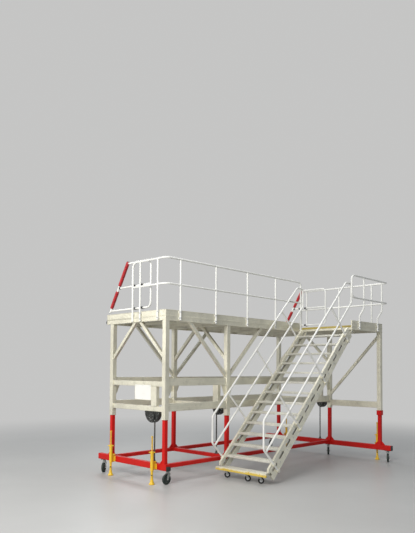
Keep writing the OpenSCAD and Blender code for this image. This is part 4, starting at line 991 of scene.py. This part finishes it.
def make_beam_fittings():
    """End plates and bolts of the mid beams, and the bolts of the braces."""
    plates = Form()
    bolts = Form()
    for beam in LONG_BEAMS:
        for y in (0, Y_FAR):
            for x, way in ((0, X), (X_MID, -X), (X_MID, X), (X_END, -X)):
                flange(plates, bolts, x, y, beam, way)
    for beam in CROSS_BEAMS:
        for x in (0, X_MID, X_END):
            for y, way in ((0, Y), (Y_FAR, -Y)):
                flange(plates, bolts, x, y, beam, way)
    for y, way in ((Y_LAND, Y), (0, -Y)):
        flange(plates, bolts, X_END, y, LAND_BEAM, way)
    foot = sum(LONG_BEAMS[1]) + 0.050
    run = BEAM_Z - foot
    for y in (0, Y_FAR):
        for side in SIDES:
            p = Vector((X_MID + side * HALF, y, foot))
            brace_bolts(bolts, p, p + Vector((side * run, 0, run)), Y)
    for x in (0, X_MID, X_END):
        for y, way in ((HALF, 1), (Y_FAR - HALF, -1)):
            p = Vector((x, y, BEAM_Z - KNEE))
            brace_bolts(bolts, p, p + Vector((0, way * KNEE, KNEE)), X)
    foot, head = Vector((X_END, -HALF, LAND_BRACE_FOOT)), Vector((X_END, Y_LAND + HALF, BEAM_Z - 0.120))
    brace_bolts(bolts, foot, head, X)
    bolts.piece("beam_bolts", "zinc", "lift")
    plates.piece("beam_flanges", "alu_cross", "lift")


def frame_board():
    """A turned rim and rivets on the notice board."""
    low, high = (Vector(corner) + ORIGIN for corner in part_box("notice_board"))
    rim = Form()
    rivets = Form()
    places = ((low.y, low.z), (high.y, low.z), (high.y, high.z), (low.y, high.z))
    corners = [(low.x - 0.001, y, z) for y, z in places]
    for a, b in zip(corners, corners[1:] + corners[:1]):
        rim.sweep([a, b], 0.004)
    for y in (low.y + 0.03, (low.y + high.y) / 2, high.y - 0.03):
        for z in (low.z + 0.025, high.z - 0.025):
            rivets.rivet((low.x, y, z), -X, 0.006)
    rim.piece("board_rim", "alu_cross", "lift")
    rivets.piece("board_rivets", "zinc", "lift")


# Deck

def make_deck():
    """Ribs of the planks."""
    ribs = Form()
    for x0, x1, y0, y1 in ((DECK_X0 + EDGE_W, DECK_X1 - EDGE_W, DECK_Y0 + EDGE_W, DECK_Y1 - EDGE_W),
                           (LAND_X + EDGE_W, DECK_X1 - EDGE_W, LAND_Y + EDGE_W, DECK_Y0)):
        count = round((y1 - y0) / PLANK)
        pitch = (y1 - y0) / count
        for i in range(count):
            for k in range(9):
                y = y0 + i * pitch + 0.014 + k * (pitch - 0.032) / 8
                ribs.block((x0 + 0.002, y - 0.003, DECK_H - 0.001), (x1 - 0.002, y + 0.003, DECK_H + 0.0022))
    ribs.piece("deck_ribs", "deck_alloy", "lift")


def make_fascia():
    """Lips of the fascia and the toe boards, and rivets along the toe boards."""
    lips = Form()
    rivets = Form()
    runs = [((DECK_X0, DECK_Y0), (LAND_X, DECK_Y0), -Y), ((LAND_X, LAND_Y), (DECK_X1, LAND_Y), -Y),
            ((DECK_X0, DECK_Y0), (DECK_X0, DECK_Y1), -X), ((DECK_X1, LAND_Y), (DECK_X1, DECK_Y1), X)]
    # Lips as (height, how far they stand out)
    levels = [(BEAM_Z + 0.006, 0.006), (DECK_H - 0.006, 0.004),
              (DECK_H + 0.008, 0.004), (TOE_TOP - 0.006, 0.004)]
    for a, b, way in runs:
        start, end = Vector((*a, 0)), Vector((*b, 0))
        for z, out in levels:
            lips.block(start + way * out + Z * (z - 0.006), end - way * 0.001 + Z * (z + 0.006), 0.0015)
        count = round((end - start).length / 0.32)
        for i in range(count):
            rivets.rivet(start.lerp(end, (i + 0.5) / count) + Z * (DECK_H + 0.035), way, 0.006)
    lips.piece("fascia_lips", "alu_long", "lift")
    rivets.piece("fascia_rivets", "zinc", "lift")


def make_nosing():
    """Ribs of the landing's nosing."""
    form = Form()
    near, far = LAND_Y + TOE_T + 0.006, RAIL_Y0 - 0.033
    for k in range(5):
        x = LAND_X + 0.006 + k * 0.009
        form.block((x, near, DECK_H + 0.0035), (x + 0.004, far, DECK_H + 0.0062))
    form.piece("nosing_ribs", "nosing", "lift")


def make_bumper():
    """Rubber bumper: a back strip and a ribbed half-round, with the screws of its strip."""
    tall, back, neck = DECK_H - BEAM_Z, 0.009, 0.020
    middle = tall / 2
    lower = [(0, 0), (back, 0), (back, 0.010), (neck, 0.011)]
    out, half = BUMPER_T - neck, middle - 0.013
    arc = [math.pi * i / 14 for i in range(15)]
    bulge = [(neck + out * math.sin(a) - 0.002 * (i % 2), middle - half * math.cos(a))
             for i, a in enumerate(arc)]
    outline = lower + bulge + [(y, tall - z) for y, z in lower[::-1]]
    form = Form()
    rings = []
    for x, share in ((DECK_X0, 0.94), (DECK_X0 + 0.004, 1), (DECK_X1 - 0.004, 1), (DECK_X1, 0.94)):
        rings.append([(x, DECK_Y1 + y * share, BEAM_Z + middle + (z - middle) * share) for y, z in outline])
    form.loft(rings)
    form.piece("bumper_profile", "rubber", "lift", ["edge_bumper"], 50)
    screws = Form()
    count = 16
    for i in range(count):
        for z in (BEAM_Z + 0.005, DECK_H - 0.005):
            x = DECK_X0 + (i + 0.5) * (DECK_X1 - DECK_X0) / count
            screws.rivet((x, DECK_Y1 + back, z), Y, 0.0045)
    screws.piece("bumper_screws", "zinc", "lift")


# Guard rails

# Radius of the thinner mid rails, and distances of weld beads from the middle of a rail and of a post
THIN_R, OFF_RAIL, OFF_POST = 0.019, RAIL_D / 2 + 0.0005, POST_D / 2 + 0.0005


def saddle_strap(straps, bolts, centre, out):
    """A strap over a post at a saddle, with its two bolts; out is the way off the fascia."""
    side = Vector((out.y, out.x, 0))
    half, radius = 0.011, POST_D / 2
    inner, outer = radius + 0.0002, radius + 0.003
    section = ((inner, -half), (outer, -half), (outer, half), (inner, half))
    ways = [out * math.cos(a) + side * math.sin(a) for a in [math.pi * (i / 12 - 0.5) for i in range(13)]]
    straps.loft([[centre + way * r + Z * h for r, h in section] for way in ways])
    for end in SIDES:
        foot = centre + side * end * (radius + 0.0055)
        reach = side * 0.0065 + Z * half
        straps.block(foot - reach, foot + reach + out * 0.003, 0.0005)
        bolts.bolt(foot + out * 0.0028, out, B10, False)


def make_rail_fittings():
    """Straps, bolts and end caps of the posts, and weld beads where the rails meet them."""
    straps = Form()
    bolts = Form()
    welds = Form()
    caps = Form()
    # Posts as (x and y of the foot, y of the head, way off the fascia)
    posts = [(x, RAIL_Y0, RAIL_Y0, -Y) for x in LONG_POSTS]
    posts += [(RAIL_X0, y, y, -X) for y in LEFT_POSTS] + [(RAIL_X1, y, y, X) for y in RIGHT_POSTS]
    posts += [(x, LAND_STUB_Y, LAND_RAIL_Y, -Y) for x in LAND_POSTS]
    # Ends of the rails as (x, y, way to the rail, size of the bead)
    ends = [(POST_LAST, RAIL_Y0, -X, THIN_R), (RAIL_X0, END_POST_Y, -Y, THIN_R),
            (RAIL_X1, END_POST_Y, -Y, RAIL_D / 2)]
    cap = [(0.017, -0.003), (0.0198, -0.001), (0.0198, 0.0005), (0.0190, 0.0005)]
    for x, y, head_y, out in posts:
        for z in (RAIL_FOOT + 0.045, TOE_TOP - 0.035):
            saddle_strap(straps, bolts, Vector((x, y, z)), out)
        welds.weld_ring((x, head_y, RAIL_Z - OFF_RAIL), Z, POST_D / 2)
        along = Vector((abs(out.y), abs(out.x), 0))
        ring = RAIL_D / 2 if head_y == LAND_RAIL_Y or x == RAIL_X1 else THIN_R
        for side in SIDES:
            welds.weld_ring(Vector((x, head_y, MID_Z)) + along * side * OFF_POST, along, ring, BEAD_XS)
    for x, y, way, ring in ends:
        welds.weld_ring(Vector((x, y, MID_Z)) + way * OFF_RAIL, way, ring, BEAD_XS)
    for x, y in [post[:2] for post in posts] + [end[:2] for end in ends]:
        caps.lathe(cap, moved(x, y, RAIL_FOOT), 24)
    straps.piece("post_straps", "zinc", "lift")
    bolts.piece("post_bolts", "zinc", "lift")
    welds.piece("rail_welds", "white", "lift")
    caps.piece("post_caps", "plastic", "lift")


def make_guide_fittings():
    """Bolts and hand wheels of the guides that the guards slide in."""
    bolts = Form()
    knobs = Form()
    wheel = [(0.005, -0.001), (0.005, 0.010), (0.013, 0.012), (0.0155, 0.016), (0.0155, 0.026),
             (0.012, 0.030)]
    for rail, way, post in ((RAIL_X0, X, LEFT_POSTS[1]), (RAIL_X1, -X, RIGHT_POSTS[2])):
        for y in (post, END_POST_Y):
            for z in (GUARD_LOW, GUARD_MID):
                centre = Vector((rail, y, z))
                knobs.lathe(wheel, aimed(centre + way * (GUARD_STEP + 0.026), way), 12)
                for j, k in CORNERS:
                    bolts.bolt(centre + way * 0.033 + Vector((0, k * 0.020, j * 0.015)), k * Y, B10, False)
    bolts.piece("guide_bolts", "zinc", "lift")
    knobs.piece("guide_knobs", "plastic", "lift")


def make_guard_fittings():
    """The sliding guards' weld beads, tee fittings and end caps."""
    radius = POLE_D / 2
    cap = [(radius - 0.001, -0.002), (radius + 0.0005, -0.001), (radius + 0.0005, 0.001),
           (0.6 * radius, 0.0035)]
    for name, x, rear, side in GUARDS:
        welds = Form()
        tees = Form()
        for z in (GUARD_LOW, GUARD_TOP):
            welds.weld_ring(on_pole(x, rear, z) - Y * 0.0255, Y, 0.0195, BEAD_S)
        welds.weld_ring((x, rear + 0.0195, GUARD_MID), Y, 0.019, BEAD_S)
        pole = on_pole(x, rear, GUARD_MID)
        tees.lathe([(0.0205, -0.034), (0.0245, -0.032), (0.0245, 0.004), (0.0205, 0.006)],
                   aimed(pole - Y * 0.030, Y), 28)
        tees.bolt(pole + Vector((side * 0.024, -0.044, 0)), side * X, B10, False)
        for z, way in ((POLE_LOW, -LEAN), (POLE_HIGH, LEAN)):
            tees.lathe(cap, aimed(on_pole(x, rear, z), way), 28)
        welds.piece(name + "_welds", "white", name)
        tees.piece(name + "_tee", "plastic", name)


# Pads

BLOW_UP = 0.003


def pinch(off, width):
    """Near one at a tie or end, falling to zero away from it."""
    return math.exp(-(off / width) ** 2)


def pad_skin(length, radius):
    """A sleeve with narrow necks at its ends and at its ties, before it is blown up."""
    count = 48
    profile = []
    for i in range(count + 1):
        t = i / count
        tie = min(abs(t - k) for k in PAD_TIES) * length
        end = min(t, 1 - t) * length
        profile.append((radius - 0.0035 * pinch(tie, 0.010) - 0.006 * pinch(end, 0.014), (t - 0.5) * length))
    return profile


def blow(obj, held):
    """Blows the skin up as cloth, with some of its points held."""
    hold = obj.vertex_groups.new(name="ties")
    hold.add(held, 1.0, "REPLACE")
    cloth = obj.modifiers.new("cloth", "CLOTH")
    cloth.settings.vertex_group_mass = "ties"
    cloth.settings.use_pressure = True
    cloth.settings.uniform_pressure_force = 5.0
    cloth.settings.effector_weights.gravity = 0
    cloth.settings.quality = 6
    cloth.settings.tension_stiffness = 12
    cloth.settings.bending_stiffness = 0.4
    frames = 20
    cloth.point_cache.frame_start, cloth.point_cache.frame_end = 1, frames
    for number in range(1, frames + 1):
        bpy.context.scene.frame_set(number)
    apply_modifiers(obj)
    bpy.context.scene.frame_set(1)


def padded_mesh(name, profile, pins):
    """A padded form: the skin is remeshed, blown up with its ties held, and kept near the skin."""
    form = Form()
    form.lathe(profile, Matrix(), 40)
    obj = add_object(name, form.mesh(name, Vector()))
    tool = obj.modifiers.new("voxels", "REMESH")
    tool.mode, tool.voxel_size = "VOXEL", 0.0055
    apply_modifiers(obj)
    start = [v.co.copy() for v in obj.data.vertices]
    off = [min(abs(co.z - z) for z in pins) for co in start]
    for v, co, far in zip(obj.data.vertices, start, off):
        if far > 0.008:
            v.co *= 1 + 0.0006 * noise.noise(co * 60)
    blow(obj, [i for i, far in enumerate(off) if far < 0.004])
    for v, co in zip(obj.data.vertices, start):
        step = v.co - co
        if step.length > BLOW_UP:
            v.co = co + step * BLOW_UP / step.length
    tool = obj.modifiers.new("finer", "SUBSURF")
    tool.levels = tool.render_levels = 1
    apply_modifiers(obj)
    mesh = obj.data
    bpy.data.objects.remove(obj)
    return mesh


def pad_band(form, z, deep, low, high, half, place):
    """A tie or end band round a pad: deep in its skin, low at its edges and high in its middle."""
    profile = [(deep, -half), (low, 0.001 - half), (high, 0), (low, half - 0.001), (deep, half)]
    form.lathe([(r, z + off) for r, off in profile], place, 40, True)


def pad_lap(form, length, ties, angle, place):
    """The lapped seam along a pad."""
    rows = []
    for i in range(41):
        t = i / 40
        z = (t - 0.5) * (length - 0.020)
        tie, end = min(abs(z - k) for k in ties), min(t, 1 - t) * length
        r = PAD_D / 2 + 0.0015 - 0.0035 * pinch(tie, 0.012) - 0.003 * pinch(end, 0.02)
        section = ((r - 0.004, -0.36), (r + 0.0005, -0.34), (r + 0.0020, 0.0), (r + 0.0005, 0.34),
                   (r - 0.004, 0.36))
        rows.append([(q * math.cos(angle + a), q * math.sin(angle + a), z) for q, a in section])
    form.loft(rows, place)


def make_pads():
    """Padded sleeves on the guards' poles, with ties and a lapped seam."""
    for part, low, high in PADS:
        length = (high - low) / LEAN.z
        ties = [(k - 0.5) * length for k in PAD_TIES]
        pins = ties + [-length / 2, length / 2]
        mesh = padded_mesh("pad_" + part, pad_skin(length, PAD_D / 2 - 0.0015), pins)
        for name, x, rear, side in GUARDS:
            place = aimed(on_pole(x, rear, (low + high) / 2) - ORIGIN, LEAN)
            skin = mesh.copy()
            skin.transform(place)
            pad = make_piece("%s_pad_%s" % (name, part), skin, "pad", name, [name + "_pad"], 60)
            plan = Matrix.Translation(ORIGIN) @ place
            trim = Form()
            for z in ties:
                pad_band(trim, z, 0.0315, 0.0345, 0.0350, 0.010, plan)
            for end in SIDES:
                pad_band(trim, end * (length / 2 - 0.004), 0.0270, 0.0310, 0.0318, 0.006, plan)
            pad_lap(trim, length, ties, math.radians(270 - 20 * side), plan)
            trim.piece("%s_pad_%s_trim" % (name, part), "pad_trim", name, (), 60)


# Stair

def make_treads():
    """Ribs and nosings of the treads and the bottom step, and the cleats that carry the treads."""
    ribs = Form()
    edges = Form()
    cleats = Form()
    near, far = NEAR_IN + 0.003, FAR_IN - 0.003
    # Treads as (x and z of the front edge, first rib, pitch of the ribs, their count)
    rows = [(NOSE_X + i * RISE, STEP_Z + i * RISE, 0.040, 0.0195, 11) for i in range(1, TREADS + 1)]
    for x, z, first, pitch, count in rows + [(STEP_X, STEP_Z, 0.010, 0.0185, 12)]:
        for k in range(count):
            rib = x + first + k * pitch
            ribs.block((rib, near, z - 0.001), (rib + 0.005, far, z + 0.0024))
    for x, z, *_ in rows:
        for k in range(4):
            rib = x + 0.003 + k * 0.0075
            edges.block((rib, near, z - 0.001), (rib + 0.0035, far, z + 0.0030))
        for low in (0.036, 0.024, 0.012):
            edges.block((x - 0.003, near - 0.001, z - low), (x + 0.001, far + 0.001, z - low + 0.006))
        seat = z - TREAD_T
        for y, way in ((NEAR_IN, 1), (FAR_IN, -1)):
            cleats.block((x + 0.018, y, seat - 0.020), (x + 0.200, y + way * 0.005, seat))
            cleats.block((x + 0.018, y, seat - 0.005), (x + 0.200, y + way * 0.050, seat))
    ribs.piece("tread_ribs", "tread_alloy", "stair")
    edges.piece("tread_edges", "tread_edge", "stair")
    cleats.piece("tread_cleats", "alu_stair", "stair")


def make_stair_bolts():
    """Bolts of the cleats, of the stringers and of the bottom step's nosing, and the hinge pins' washers."""
    bolts = Form()
    for i in range(1, TREADS + 1):
        x, z = NOSE_X + i * RISE, STEP_Z + i * RISE - TREAD_T - 0.012
        for y, way in ((NEAR_IN + 0.005, Y), (FAR_IN - 0.005, -Y)):
            for k in (0.050, 0.165):
                bolts.bolt((x + k, y, z), way, B12)
        for y, way in ((NEAR_OUT, -Y), (FAR_OUT, Y)):
            for s, n in ((0.010, N_WEB / 2), (0.150, (N_LOW + N_BASE) / 2 + 0.025)):
                bolts.bolt(on_stair(i * PITCH_S + s, n, y), way, B18)
    middle = (NEAR_OUT + FAR_OUT) / 2
    for y in (NEAR_OUT + 0.05, middle - 0.25, middle + 0.25, FAR_OUT - 0.05):
        bolts.bolt((STEP_X - 0.0275, y, STEP_Z - 0.025), -X, B14)
    for y in (NEAR_OUT, FAR_IN):
        for side, way in ((y - 0.017, -Y), (y + STRINGER_T + 0.017, Y)):
            bolts.lathe([(0.019, -0.0005), (0.019, 0.003), (0.014, 0.004), (0.011, 0.007)],
                        aimed((HINGE_X, side, HINGE_Z), way), 20)
    bolts.piece("stair_bolts", "zinc", "stair")


def make_stringer_lips():
    """Raised lines along the stringers' outer faces, and the ribs of the bottom step's nosing."""
    lines = Form()
    first, lower, last = 0.125, 0.082, HINGE_S - 0.060
    section = ((-0.0035, -0.001), (-0.0022, 0.0022), (0.0022, 0.0022), (0.0035, -0.001))
    for y, way in ((NEAR_OUT, -1), (FAR_OUT, 1)):
        for n in (-0.006, -0.046, -0.068, -0.157, -0.192, -0.228, -0.264):
            start = first if n == -0.006 else lower
            lines.loft([[on_stair(s, n + dn, y + way * dy) for dn, dy in section] for s in (start, last)])
    lines.piece("stringer_lips", "tread_edge", "stair", slot="aluminium")
    nosing = Form()
    for k in range(4):
        low = STEP_Z - 0.052 + k * 0.0145
        nosing.block((STEP_X - 0.0275, NEAR_OUT - 0.004, low), (STEP_X - 0.024, FAR_OUT + 0.004, low + 0.006))
    nosing.piece("step_nosing_ribs", "nosing_rubbed", "stair")


def make_handrail_fittings():
    """Bolts and end caps of the handrails' clamps, and weld beads at their joints."""
    bolts = Form()
    welds = Form()
    cap = [(0.017, -0.0025), (0.0198, -0.0005), (0.0198, 0.0005), (0.019, 0.0005)]
    for y, way in ((HAND_NEAR_Y, -1), (HAND_FAR_Y, 1)):
        for s in HAND_POSTS + [LINK_S]:
            for n in CLAMP_N:
                centre = on_stair(s, n, y + way * (RAIL_D / 2 + 0.005))
                for side in SIDES:
                    bolts.nut(centre + UP_SLOPE * side * 0.0275, way * Y, B14)
        for s in HAND_POSTS:
            welds.weld_ring(on_stair(s, HAND_N - OFF_RAIL, y), OFF_SLOPE, POST_D / 2)
            for side in SIDES:
                welds.weld_ring(on_stair(s + side * OFF_POST, HAND_MID_N, y), UP_SLOPE, RAIL_D / 2, BEAD_S)
            bolts.lathe(cap, aimed(on_stair(s, N_BASE + 0.010, y), OFF_SLOPE), 20)
        welds.weld_ring(on_stair(LINK_S + OFF_RAIL, HAND_MID_N, y), UP_SLOPE, RAIL_D / 2, BEAD_S)
    bolts.piece("handrail_bolts", "zinc", "stair")
    welds.piece("handrail_welds", "white", "stair")


# Stage

FLOOR_GREY, BACKDROP, SKY = (0.50, 0.50, 0.495), (0.56, 0.56, 0.555), (0.93, 0.97, 1.0)
FLOOR_R, FADE_FROM, FADE_TO = 120.0, 5.0, 15.0
WORLD_LIGHT = 0.34
# Lamps as [name, place, aimed at, size, watts, colour]
LAMPS = [
    ["key", (-13.0, -4.5, 8.5), (0, 0, 2.0), 6.0, 1420, (1.0, 0.98, 0.94)],
    ["left", (-12.0, 6.0, 5.0), (0, 0, 2.0), 6.0, 360, (1.0, 0.97, 0.90)],
    ["back", (6.0, 11.0, 9.0), (0, 0, 2.5), 6.0, 420, (0.95, 0.98, 1.0)],
    ["top", (0.0, 0.0, 12.0), (0, 0, 0), 9.0, 420, (1.0, 1.0, 1.0)]]


def make_floor():
    """A pale floor that fades into the backdrop's colour away from the object."""
    f = Finish("floor")
    place = f.add("VectorMath", [(0, f.coords)], operation="LENGTH").outputs["Value"]
    fade = f.span(place, FADE_FROM, FADE_TO)
    fade.node.interpolation_type = "SMOOTHSTEP"
    blotch = f.noise(0.5, 4.0, 0.6)
    f.set(Base_Color=f.over(FLOOR_GREY, shade(FLOOR_GREY, 0.94), blotch, 0.3, 0.7),
          Specular_IOR_Level=0.3, Roughness=f.span(blotch, 0.3, 0.7, 0.34, 0.37))
    glow = f.add("Emission", [("Color", rgba(BACKDROP)), ("Strength", 1.0)])
    path = f.add("LightPath").outputs
    seen = f.math("MAXIMUM", path["Is Camera Ray"],
                  f.math("MAXIMUM", path["Is Glossy Ray"], path["Is Transmission Ray"]))
    both = f.add("MixShader", [(0, f.times(fade, seen)), (1, f.shader.outputs[0]), (2, glow.outputs[0])])
    f.put(f.tree.nodes["Material Output"], "Surface", both.outputs[0])
    bm = bmesh.new()
    bmesh.ops.create_circle(bm, cap_ends=True, radius=FLOOR_R, segments=64)
    mesh = bpy.data.meshes.new("floor")
    bm.to_mesh(mesh)
    bm.free()
    mesh.materials.append(f.mat)
    floor = add_object("floor", mesh)


def make_world():
    """Even light all round, and the backdrop's colour where the camera sees the world."""
    world = bpy.data.worlds.new("studio")
    bpy.context.scene.world = world
    world.use_nodes = True
    tree = world.node_tree
    back = tree.nodes["Background"]
    back.inputs["Color"].default_value = rgba(SKY)
    back.inputs["Strength"].default_value = WORLD_LIGHT
    view = tree.nodes.new("ShaderNodeBackground")
    view.inputs["Color"].default_value = rgba(BACKDROP)
    mixed = tree.nodes.new("ShaderNodeMixShader")
    rays = tree.nodes.new("ShaderNodeLightPath").outputs
    for i, socket in enumerate((rays["Is Camera Ray"], back.outputs[0], view.outputs[0])):
        tree.links.new(socket, mixed.inputs[i])
    tree.links.new(mixed.outputs[0], tree.nodes["World Output"].inputs["Surface"])


def make_lamps():
    """Round area lamps, each aimed at its own point."""
    for name, place, aim, size, watts, color in LAMPS:
        lamp = bpy.data.lights.new(name, "AREA")
        lamp.shape = "DISK"
        lamp.size = size
        lamp.energy = watts
        lamp.color = color
        obj = add_object(name, lamp)
        obj.location = place
        obj.rotation_euler = (Vector(aim) - Vector(place)).to_track_quat("-Z", "Y").to_euler()


make_camera()
finish_nodes()
make_castors()
make_jacks()
make_spindles()
make_drives()
make_base_fittings()
make_leg_fittings()
make_beam_fittings()
frame_board()
make_deck()
make_fascia()
make_nosing()
make_bumper()
make_rail_fittings()
make_guide_fittings()
make_guard_fittings()
make_pads()
make_treads()
make_stringer_lips()
make_stair_bolts()
make_handrail_fittings()
make_floor()
make_world()
make_lamps()
bpy.context.scene.view_settings.view_transform = "Standard"
